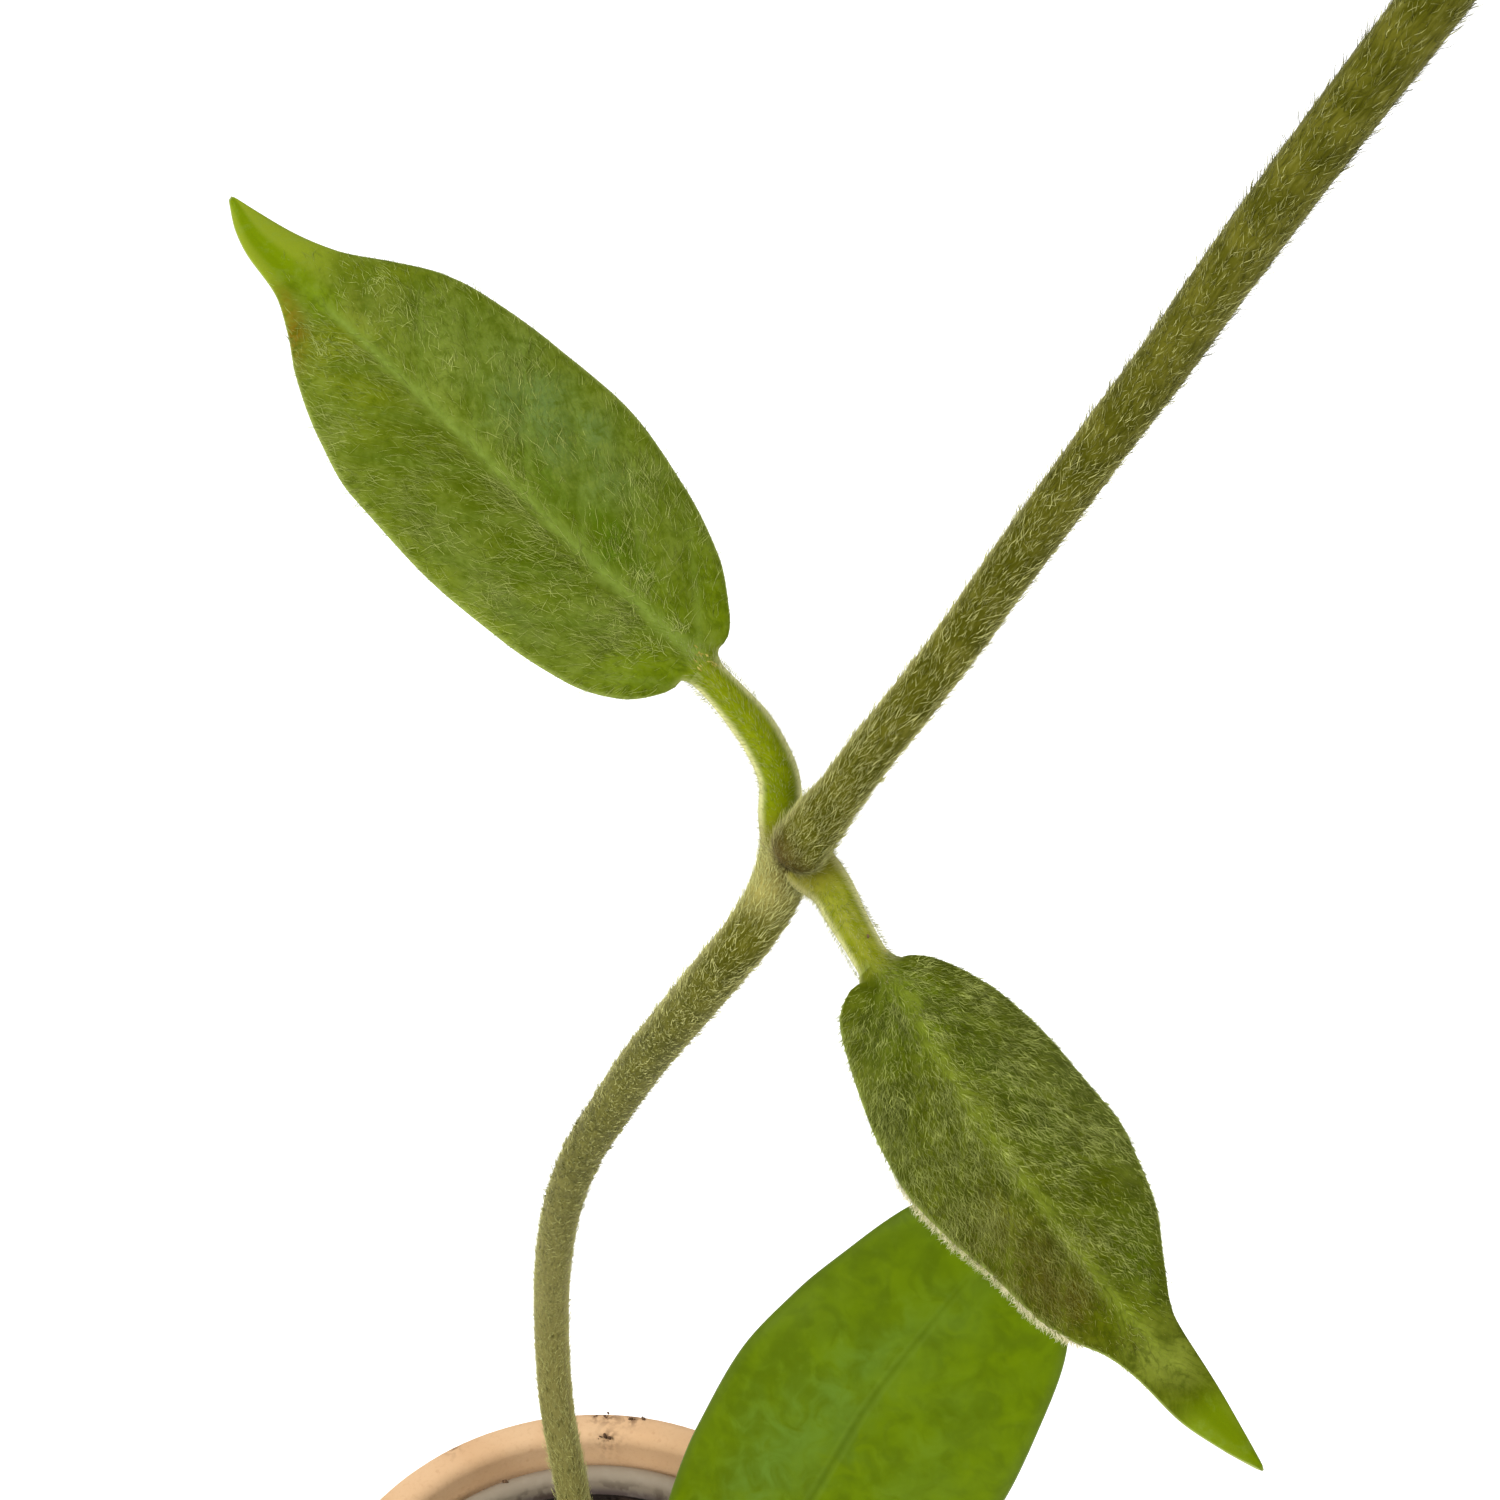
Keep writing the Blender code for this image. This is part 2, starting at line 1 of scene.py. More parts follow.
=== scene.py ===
"""The looks of a young hoya vine in its clay pot, fitted over its solids.

Lengths below are in millimetres, and each mesh is scaled to metres as it is made. The origin is the
centre of the pot's flat underside, +Z is up and +Y points away from the viewer. A leaf is described in
its own directions: along it from base to tip, out of its upper face, and to its right, looking along it
with the upper face up. A place on a blade is t, from 0 at the base to 1 at the tip, and s, from -1 at the
left margin to 1 at the right one.
"""

import math
import random
from dataclasses import dataclass, field

import bmesh
import bpy
import numpy as np
from mathutils import Euler, Matrix, Vector, noise


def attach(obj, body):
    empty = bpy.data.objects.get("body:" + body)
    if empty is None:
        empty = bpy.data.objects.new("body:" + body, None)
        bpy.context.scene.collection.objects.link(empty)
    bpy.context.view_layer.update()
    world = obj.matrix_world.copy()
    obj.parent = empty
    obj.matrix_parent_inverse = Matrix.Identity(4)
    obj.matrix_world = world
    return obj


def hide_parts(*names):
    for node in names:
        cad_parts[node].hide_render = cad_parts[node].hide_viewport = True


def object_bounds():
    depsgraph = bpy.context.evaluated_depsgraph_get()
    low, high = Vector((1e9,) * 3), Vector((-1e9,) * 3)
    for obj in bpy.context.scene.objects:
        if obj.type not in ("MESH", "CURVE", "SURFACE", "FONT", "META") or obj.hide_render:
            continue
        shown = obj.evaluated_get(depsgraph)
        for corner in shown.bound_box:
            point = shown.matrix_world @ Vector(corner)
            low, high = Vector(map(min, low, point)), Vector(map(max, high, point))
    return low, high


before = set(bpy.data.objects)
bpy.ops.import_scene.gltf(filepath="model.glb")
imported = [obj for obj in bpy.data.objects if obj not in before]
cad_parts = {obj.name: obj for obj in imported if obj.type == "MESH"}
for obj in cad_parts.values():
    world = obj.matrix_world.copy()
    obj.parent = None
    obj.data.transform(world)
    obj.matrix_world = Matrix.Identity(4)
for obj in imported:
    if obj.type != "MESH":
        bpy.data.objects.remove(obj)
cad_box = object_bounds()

METRES = 0.001

# Driving dimensions of the pot, the liner and the soil
POT_HEIGHT = 62.0
POT_RIM_RADIUS = 35.5
POT_FOOT_RADIUS = 25.5
POT_LIP = 4.8
POT_LIP_ROUNDING = 0.36
POT_FLOOR = 6.0
LINER_DROP = 3.8
LINER_LIP = 2.8
LINER_WALL = 1.0
LINER_FLOOR = 1.2
SOIL_DROP = 2.4
SOIL_BUMP = 0.7
GAP = 0.3
CHIP_COUNT = 26
CHIP_LENGTHS = (4.0, 7.5)
CHIP_WIDTHS = (2.6, 4.4)
CHIP_THICKNESSES = (1.4, 2.2)
CHIP_TILT = 0.3
CHIP_CLEAR_OF_STEM = 10.5
CHIP_CLEAR_OF_WALL = 5.5
POT_INNER_RADIUS = POT_RIM_RADIUS - POT_LIP
POT_INNER_SLOPE = 1 / 6
LINER_TOP = POT_HEIGHT - LINER_DROP
SOIL_TOP = LINER_TOP - SOIL_DROP
POT_SIDES = 128
LINER_SIDES = 160
SOIL_RINGS = 56
SOIL_SECTORS = 168
SOIL_CRUMBS = 1500
# Seeds of the random numbers for each kind of lump
CHIP_SEED = 4
SPILL_SEED = 8
CRUMB_SEED = 21
# Each of the solid's chips took this many more random numbers for its shape. They are drawn and dropped, so
# that the chips here lie in the same places.
CHIP_SHAPE_DRAWS = 16
# Where soil has smeared the rim, with how far it reaches.
RIM_SMEARS = [
    ((1.0, 34.4, 62.0), 1.6), ((4.6, 34.0, 62.0), 1.4), ((1.6, 30.8, 61.4), 1.3), ((-19.0, 29.0, 61.8), 0.8),
]
# Where crumbs lie on the rim and on the liner's lip, with their reach and count. The last is a speck on the
# right petiole.
SPILLS = [((0.8, 34.2, 61.9), 2.6, 7), ((4.8, 33.7, 61.95), 1.6, 7), ((1.4, 31.0, 61.6), 1.6, 5),
          ((-12.3, 26.3, 58.1), 0.7, 4), ((20.0, -24.0, 61.9), 2.0, 6), ((-30.0, -12.0, 61.9), 2.0, 5),
          ((30.7, -35.2, 203.7), 0.0, 1)]

# The stem's centre line from inside the soil to the node of the young pair, and on to the growing tip.
STEM_RADIUS = 2.08
LOWER_STEM = [
    (1.6, 5.0, 36.0), (1.2, 6.2, 50.0), (0.4, 8.3, 60.0), (-1.6, 11.8, 74.6),
    (-3.2, 14.6, 87.9), (-3.3, 14.9, 97.0), (-2.8, 13.0, 108.0), (-1.5, 8.3, 121.8),
    (0.5, 2.9, 135.1), (3.3, -3.2, 148.0), (7.2, -10.6, 161.7), (11.3, -18.0, 175.1),
    (15.4, -24.4, 186.6), (18.6, -28.3, 194.7), (21.0, -29.9, 199.8), (23.0, -29.4, 203.6),
    (23.9, -28.4, 206.0), (24.2, -27.6, 207.8),
]
UPPER_STEM = [
    (25.1, -30.4, 209.3), (26.3, -30.3, 211.3), (28.7, -29.6, 214.7), (30.5, -28.9, 217.3),
    (33.1, -28.4, 221.0), (37.2, -28.7, 228.0), (40.6, -30.1, 235.3), (44.1, -32.1, 243.0),
    (47.2, -34.4, 250.2), (50.0, -37.0, 257.0), (52.3, -39.8, 263.5), (56.5, -45.3, 275.2),
    (60.9, -50.2, 286.3), (65.0, -54.6, 297.0), (69.0, -58.6, 308.5), (72.8, -61.6, 321.0),
    (75.8, -63.4, 334.0), (77.6, -63.6, 346.0), (78.4, -62.4, 357.0), (78.6, -61.2, 364.0),
]
# Distance along each stretch and its radius there, as a share of STEM_RADIUS.
LOWER_GIRTH = [
    (0, 0.95), (22, 1.0), (26, 1.16), (31, 1.0), (150, 1.02), (178, 1.04), (186, 1.06), (193, 0.94),
]
UPPER_GIRTH = [
    (0, 1.16), (2.5, 1.1), (7, 0.94), (40, 0.93), (88, 0.93), (108, 0.9), (112, 1.05), (117, 0.84),
    (150, 0.52), (159, 0.4), (163, 0.6), (166, 0.5), (169, 0.2),
]
STEM_SPACING = 0.8
STEM_SIDES = 34
STEM_SEED = 11
PETIOLE_SPACING = 0.4
PETIOLE_SIDES = 28
# The first leaf's seed; each further leaf has the next one.
LEAF_SEED = 100
# A stretch starts with a round end, this share of its radius long.
BLUNTNESS = 0.8
# A way out towards the front and up, nearly the way from the plant to EYE_PLACE. Skin and hairs on a stalk's
# two flanks, which stand edge on to it, are painted paler: a painted rim light.
LIGHT_WAY = (0, -0.82, 0.57)
# Height up to which skin and hairs get the painted rim light, and over how many millimetres below it that
# fades.
RIM_LIGHT_TOP, RIM_LIGHT_FADE = 300, 80
# How far along the lower stretch its bark is old, and over how many millimetres before that it fades.
OLD_BARK_END, OLD_BARK_FADE = 165, 90
# Keeps the bark's pattern on the upper stretch apart from the lower one's.
PATTERN_SHIFT = 400
# Count of hairs on a stretch, their lengths and width, how far they lift and their number of steps.
STEM_COATS = [(16600, (0.5, 1.1), 0.047, 0.22, 1), (6400, (0.8, 1.5), 0.05, 0.5, 2)]

# Shape of every blade
RIB_WIDTH = 1.1
RIB_DEPTH = 0.7
GROOVE_DEPTH = 0.26
MARGIN_THINNING = 0.4
MARGIN_ROUNDING = 14
BASE_ROUNDING = 0.012
TIP_ROUNDING = 0.02
VEIN_WIDTH = 0.5
# How far a side vein gets along the blade for each millimetre out, and for the square of that distance.
VEIN_SLANT, VEIN_BEND = 0.95, 0.02
# The fine streaks of a young blade leave its midrib at this angle.
FLOW_ANGLE = math.radians(26)
BLADE_ROWS = 110
BLADE_COLUMNS = 50
# Share of the petiole's length up to the blade, and share of its radius there, past its collar.
PETIOLE_TAPER = [(0.32, 0.98), (0.8, 0.94), (1, 0.9)]
# Where the petiole runs on under the blade as its midrib: t, how far below the blade, share of the radius.
PETIOLE_RUN = [(0.02, 0.95, 0.8), (0.06, 0.7, 0.6), (0.12, 0.5, 0.42), (0.2, 0.4, 0.28)]
# The mound over that joint, beside a petiole of radius 1.8: its middle ahead of the base and out of the
# blade, and its reach along, across and out.
PAD_PLACE = (0.2, -0.1)
PAD_REACH = (2.1, 1.85, 0.8)
# How far from the petiole's skin its seam with the blade is smoothed, and how often.
SEAM_REACH, SEAM_ROUNDS = 0.7, 16
GLAND_COUNT = 13
# Share of the petiole's line that lies free of the blade, where its own hairs grow.
FREE_PETIOLE = 0.78
# Hairs keep inside the solids' box, rooted this far within it and this deep in the skin.
BOX_LOW, BOX_HIGH = (np.array(corner) / METRES for corner in cad_box)
BOX_MARGIN = 0.3
ROOT_DEPTH = 0.04
# Share of a blade's length over which its coat thins out, before and past its end.
COAT_FADE = 0.06
# Degrees by which hairs in a tuft stray, and by which a fringe turns further out.
TUFT_STRAY, FRINGE_SPLAY = 50, 24

# How bright a white surface is seen under the sky and the lamps below.
LIGHT_LEVEL = 1.28
SKY_STRENGTH = 0.85
# Each lamp's name, place, diameter and power. All of them face the same point.
LAMPS = [("key", (-620, -420, 760), 620, 9.0), ("fill", (700, -500, 500), 700, 2.5)]
LAMPS_FACE = (0, -10, 200)
FLOOR_SIZE = 12000
FLOOR_GLOW = 0.4
EYE_PLACE = (21.0, -194.7, 334.1)
# Degrees that the eye looks down
EYE_PITCH = 35
FOCAL_LENGTH, SENSOR_WIDTH = 60, 36


@dataclass
class Coat:
    """The hairs on one face. Lengths are in millimetres and angles in degrees away from the tip.

    The rarer pale hairs are, the higher is rarity. Clumps sets how much whole clumps differ in shade, and
    rib_light how much paler the hairs along the midrib are. A tuft is t, s, how far it reaches in millimetres
    and its count of hairs. A bare place is t, s, its reach in both, and the share of hairs that it lacks. The
    fringe grows on the margins between two values of t.
    """

    count: int
    lengths: tuple
    width: float
    patchy: float = 0.0
    rarity: float = 2.2
    clumps: float = 0.0
    rib_light: float = 0.0
    near_rib: float = 8
    far_off: float = 46
    stray: float = 13
    swirl: float = 24
    lift: float = 0.07
    curl: float = 0.16
    wave: float = 0.07
    steps: int = 3
    ends_at: float = 0.8
    tufts: list = field(default_factory=list)
    bare: list = field(default_factory=list)
    fringe: int = 0
    fringe_lengths: tuple = (0.3, 0.6)
    fringe_reach: tuple = (0.0, 0.8)
    fringe_sides: tuple = (-1, 1)
    warm: tuple = (0.0, 0.0, 0.001, 0.001)


@dataclass
class Leaf:
    """One leaf. Half widths, sway and rise are distances from the straight line between base and tip."""

    name: str
    base: tuple
    tip: tuple
    face: tuple
    right: list
    left: list
    sway: list
    rise: list
    petiole: list
    petiole_radius: float = 1.8
    fold: float = 0.2
    roll: float = 0.25
    lobe: float = 1.5
    wave: float = 0.25
    waves: float = 3.0
    thickness: float = 1.2
    slot: str = "young_leaf"
    rib_spread: float = 0.5
    collar: float = 1.08
    vein_spacing: float = 6.6
    vein_depth: float = 0.06
    rows: int = BLADE_ROWS
    columns: int = BLADE_COLUMNS
    coats: list = field(default_factory=list)
    under_coat: Coat = None
    rim_coat: Coat = None
    petiole_hairs: int = 0


YOUNG_LEFT = Leaf(
    name="leaf_young_left",
    base=(16.6, -17.5, 219.3),
    tip=(-25.0, 14.3, 247.3),
    face=(0.126, -0.557, 0.821),
    right=[(0, 0.9), (0.01, 3.4), (0.04, 5.4), (0.1, 8.0), (0.2, 10.1), (0.36, 11.4), (0.5, 10.9),
           (0.63, 9.4), (0.69, 8.1), (0.75, 5.9), (0.82, 3.1), (0.89, 1.5), (0.95, 0.7), (1, 0.15)],
    left=[(0, 0.9), (0.01, 4.2), (0.04, 7.4), (0.1, 9.9), (0.2, 11.5), (0.37, 12.3), (0.5, 12.1),
          (0.6, 10.5), (0.7, 7.9), (0.76, 5.7), (0.82, 4.0), (0.9, 3.0), (0.95, 1.9), (1, 0.15)],
    sway=[(0, 0), (0.1, -0.5), (0.28, -1.1), (0.5, -1.3), (0.65, -1.5), (0.8, -1.7), (0.9, -1.5), (1, 0)],
    rise=[(0, 0), (0.3, 1.2), (0.55, 1.6), (0.8, 1.4), (1, 0)],
    petiole=[(23.9, -27.9, 207.3), (23.5, -26.7, 209.9), (23.5, -25.2, 212.0), (22.0, -22.8, 214.8),
             (19.3, -20.0, 217.1), (16.6, -17.9, 218.6)],
    fold=0.24,
    roll=0.22,
    lobe=0.9,
    coats=[
        Coat(4400, (0.8, 2.3), 0.045, near_rib=16, far_off=36, swirl=26, stray=20, curl=0.26, wave=0.03,
             patchy=0.8, rarity=1.7, bare=[(0.42, 0.36, 0.2, 0.26, 0.8), (0.2, 0.22, 0.08, 0.16, 0.8)],
             # The last tuft, a small clump of pale hairs, is a painted highlight for a glint on the blade.
             tufts=[(0.68, 0.2, 1.6, 60), (0.7, -0.5, 1.3, 50), (0.73, 0.5, 2.0, 40), (0.13, 0.2, 1.5, 60),
                    (0.05, -0.28, 1.0, 40), (0.1, -0.22, 2.0, 60), (0.05, 0.12, 1.2, 40),
                    (0.2, -0.3, 6.0, 150), (0.34, -0.4, 6.0, 110), (0.56, 0.3, 0.4, 14)]),
        Coat(9000, (0.5, 1.2), 0.04, near_rib=14, far_off=34, stray=20, steps=1, rarity=2.0, patchy=0.5,
             bare=[(0.42, 0.36, 0.18, 0.22, 0.5)]),
    ],
    under_coat=Coat(900, (0.8, 1.8), 0.06, steps=2),
    petiole_hairs=7500,
    rib_spread=0.45,
)
RIGHT_COAT = dict(near_rib=6, far_off=36, swirl=28, clumps=0.45, rib_light=0.4, warm=(0.6, 0.6, 0.18, 0.6))
YOUNG_RIGHT = Leaf(
    name="leaf_young_right",
    base=(32.2, -36.5, 201.0),
    tip=(60.0, -70.5, 180.3),
    face=(0.071, -0.476, 0.877),
    right=[(0, 0.9), (0.01, 3.6), (0.04, 5.8), (0.1, 7.2), (0.17, 8.4), (0.25, 9.5), (0.34, 10.1),
           (0.43, 9.5), (0.52, 8.4), (0.61, 7.8), (0.67, 6.7), (0.73, 4.9), (0.78, 4.1), (0.86, 3.4),
           (0.94, 1.8), (1, 0.15)],
    left=[(0, 0.8), (0.01, 2.6), (0.04, 4.4), (0.09, 5.8), (0.16, 6.9), (0.29, 7.8), (0.41, 7.9),
          (0.51, 6.8), (0.58, 5.7), (0.66, 3.4), (0.74, 1.3), (0.82, 0.8), (0.89, 0.6), (0.955, 0.4),
          (1, 0.15)],
    sway=[(0, 0), (0.06, 0.3), (0.12, 0.8), (0.22, 1.5), (0.38, 2.0), (0.6, 2.0), (0.86, 1.2), (0.94, 0.5),
          (1, 0)],
    rise=[(0, 0), (0.3, 1.0), (0.6, 1.6), (0.8, 1.6), (1, 0)],
    petiole=[(25.9, -29.4, 206.6), (27.7, -31.0, 205.5), (29.1, -32.9, 203.7), (30.2, -34.3, 202.4),
             (31.3, -35.7, 201.0), (32.6, -37.0, 200.0)],
    fold=0.22,
    roll=0.26,
    lobe=0.8,
    coats=[
        Coat(8800, (0.7, 1.4), 0.05, stray=20, lift=0.14, steps=2, ends_at=0.68, wave=0.13, rarity=1.5,
             fringe=600, **RIGHT_COAT),
        Coat(13000, (0.4, 0.9), 0.045, stray=22, lift=0.18, steps=1, ends_at=0.7, rarity=1.8, **RIGHT_COAT),
    ],
    rim_coat=Coat(0, (0.8, 1.5), 0.045, lift=0.25, far_off=62, stray=34, curl=0.3, fringe=950,
                  fringe_lengths=(0.15, 0.95), fringe_reach=(0.3, 0.69), fringe_sides=(1,)),
    under_coat=Coat(900, (0.7, 1.4), 0.06, steps=2),
    petiole_hairs=7500,
    collar=1.3,
    rib_spread=0.85,
)
MATURE = dict(
    slot="mature_leaf", petiole_radius=1.7, wave=0.45, thickness=1.6, rows=88, vein_spacing=9.0,
    vein_depth=0.09,
)
MATURE_RIGHT = Leaf(
    name="leaf_mature_right",
    base=(16.7, -6.9, 68.9),
    tip=(60.3, 13.2, 134.2),
    face=(-0.281, -0.848, 0.449),
    right=[(0, 1.0), (0.01, 5.2), (0.04, 9.4), (0.09, 12.8), (0.2, 16.2), (0.35, 17.4), (0.48, 16.6),
           (0.62, 14.4), (0.7, 12.6), (0.78, 9.3), (0.86, 5.2), (0.93, 2.2), (1, 0.4)],
    left=[(0, 1.0), (0.01, 5.2), (0.04, 9.4), (0.09, 12.8), (0.15, 15.0), (0.27, 17.4), (0.42, 18.5),
          (0.54, 17.3), (0.63, 15.6), (0.75, 12.7), (0.82, 8.9), (0.89, 4.8), (0.95, 2.0), (1, 0.4)],
    sway=[(0, 0), (0.3, -1.4), (0.5, -2.7), (0.68, -2.3), (0.85, -1.0), (1, 0)],
    rise=[(0, 0), (0.3, 1.2), (0.6, 1.4), (0.85, 0.8), (1, 0)],
    petiole=[(0.8, 8.0, 60.2), (5.0, 2.8, 61.2), (10.4, -4.2, 62.8), (14.4, -7.4, 65.6), (16.9, -6.2, 69.0),
             (18.6, -4.8, 71.6)],
    fold=0.12,
    roll=0.18,
    lobe=2.4,
    waves=3.5,
    **MATURE,
)
MATURE_LEFT = Leaf(
    name="leaf_mature_left",
    base=(-14.0, -4.6, 67.8),
    tip=(-71.0, -47.0, 80.0),
    face=(0.1, 0.05, 1.0),
    right=[(0, 1.0), (0.01, 5.0), (0.04, 9.0), (0.1, 12.8), (0.2, 15.6), (0.36, 17.2), (0.52, 16.0),
           (0.66, 12.6), (0.78, 8.2), (0.87, 4.2), (0.94, 1.8), (1, 0.4)],
    left=[(0, 1.0), (0.01, 5.0), (0.04, 8.8), (0.1, 12.4), (0.2, 15.2), (0.38, 16.8), (0.54, 15.4),
          (0.68, 12.0), (0.8, 7.4), (0.88, 3.9), (0.95, 1.6), (1, 0.4)],
    sway=[(0, 0), (0.4, 1.2), (0.7, 1.0), (1, 0)],
    rise=[(0, 0), (0.25, 4.6), (0.5, 6.6), (0.75, 5.2), (1, 0)],
    petiole=[(-0.2, 8.6, 60.2), (-4.6, 5.4, 61.4), (-9.6, 0.4, 63.8), (-13.0, -3.4, 66.6),
             (-16.4, -6.4, 68.8)],
    fold=0.14,
    roll=0.2,
    lobe=2.2,
    **MATURE,
)
SMALL = dict(
    lobe=0.6, wave=0.12, thickness=0.9, vein_spacing=2.6, vein_depth=0.03, rows=72, columns=32,
    petiole_hairs=700,
)
UPPER_FRONT = Leaf(
    name="leaf_upper_front",
    base=(63.4, -66.4, 313.2),
    tip=(56.2, -87.4, 328.2),
    face=(-0.1, 0.55, 0.83),
    right=[(0, 0.8), (0.02, 1.9), (0.07, 3.2), (0.14, 4.1), (0.3, 5.1), (0.5, 4.7), (0.7, 2.7), (0.82, 1.3),
           (1, 0.25)],
    left=[(0, 0.8), (0.02, 1.9), (0.07, 3.2), (0.14, 4.2), (0.32, 5.2), (0.5, 4.6), (0.68, 2.9), (0.82, 1.3),
          (1, 0.25)],
    sway=[(0, 0), (0.5, 0.4), (1, 0)],
    rise=[(0, 0), (0.5, 0.8), (1, 0)],
    petiole=[(68.6, -59.6, 308.2), (66.8, -62.2, 309.8), (65.0, -64.6, 311.8), (63.2, -67.0, 313.2)],
    petiole_radius=1.15,
    coats=[Coat(1400, (0.5, 1.2), 0.055, steps=2, ends_at=0.86, fringe=300, fringe_reach=(0, 0.9))],
    under_coat=Coat(500, (0.5, 1.0), 0.055, steps=2),
    **SMALL,
)
UPPER_BACK = Leaf(
    name="leaf_upper_back",
    base=(75.4, -52.6, 313.4),
    tip=(90.4, -42.6, 327.2),
    face=(-0.45, -0.45, 0.77),
    right=[(0, 0.8), (0.02, 1.7), (0.07, 2.9), (0.14, 3.7), (0.3, 4.6), (0.5, 4.2), (0.7, 2.4), (0.82, 1.2),
           (1, 0.25)],
    left=[(0, 0.8), (0.02, 1.7), (0.07, 2.9), (0.14, 3.8), (0.32, 4.7), (0.5, 4.1), (0.68, 2.6), (0.82, 1.2),
          (1, 0.25)],
    sway=[(0, 0), (0.5, -0.4), (1, 0)],
    rise=[(0, 0), (0.5, 0.7), (1, 0)],
    petiole=[(69.4, -57.6, 308.6), (71.6, -55.8, 309.8), (73.6, -54.2, 311.6), (75.6, -52.6, 313.0)],
    petiole_radius=1.1,
    coats=[Coat(1200, (0.5, 1.1), 0.055, steps=2, ends_at=0.86, fringe=260, fringe_reach=(0, 0.9))],
    under_coat=Coat(400, (0.5, 0.9), 0.055, steps=2),
    **SMALL,
)
LEAVES = [YOUNG_LEFT, YOUNG_RIGHT, MATURE_RIGHT, MATURE_LEFT, UPPER_FRONT, UPPER_BACK]


def unit(vector):
    """The vector at length 1."""
    return np.array(vector, float) / np.linalg.norm(vector)


def units(rows):
    """Each row of an array at length 1."""
    return rows / np.linalg.norm(rows, axis=1, keepdims=True)


def clamped(value):
    """Numbers held between 0 and 1."""
    return np.clip(value, 0, 1)


def bell(distance, reach):
    """1 at no distance, and soon 0 past reach."""
    return np.exp(-((distance / reach) ** 2))


def spot(t, s, place):
    """1 at a place on a blade, given as its t and s and the reach in both, and soon 0 past its reach."""
    at_t, at_s, reach_t, reach_s = place
    return np.exp(-(((t - at_t) / reach_t) ** 2) - ((s - at_s) / reach_s) ** 2)


def between(values, tangents, length, i, u):
    """A smooth curve from value i to the next, length long, with the given slopes, at the share u of it."""
    return (
        values[i] * (1 + 2 * u) * (1 - u) ** 2
        + values[i + 1] * u**2 * (3 - 2 * u)
        + length * (tangents[i] * u * (1 - u) ** 2 - tangents[i + 1] * u**2 * (1 - u))
    )


def through(points, at):
    """A smooth curve through (place, value) points that never swings past them."""
    place, value = np.array(points, float).T
    step = np.diff(place)
    slope = np.diff(value) / step
    before, after = slope[:-1], slope[1:]
    same_way = before * after > 0
    tangent = np.concatenate([slope[:1], np.zeros(len(place) - 2), slope[-1:]])
    tangent[1:-1][same_way] = (2 * before * after)[same_way] / (before + after)[same_way]
    at = np.clip(at, place[0], place[-1])
    i = np.clip(np.searchsorted(place, at, side="right") - 1, 0, len(step) - 1)
    return between(value, tangent, step[i], i, (at - place[i]) / step[i])


def distances(points):
    """The length of each step from point to point, and how far along each point lies."""
    steps = np.linalg.norm(np.diff(np.array(points, float), axis=0), axis=1)
    return steps, np.concatenate([[0], np.cumsum(steps)])


def smooth_route(points, spacing):
    """Evenly spaced points of a smooth curve through the given ones, and how far along each lies."""
    points = np.array(points, float)
    steps, places = distances(points)
    at = np.linspace(0, places[-1], max(4, round(places[-1] / spacing)) + 1)
    i = np.clip(np.searchsorted(places, at, side="right") - 1, 0, len(steps) - 1)
    length = steps[i][:, None]
    u = (at - places[i])[:, None] / length
    return between(points, np.gradient(points, places, axis=0), length, i, u), at


def rough(points, size, seed):
    """Smooth noise from about -1 to 1 at points, with bumps about size across."""
    shift = Vector((seed * 17.3, seed * 5.1, seed * 9.7))
    return np.array([noise.noise(Vector(point) / size + shift) for point in np.asarray(points).tolist()])


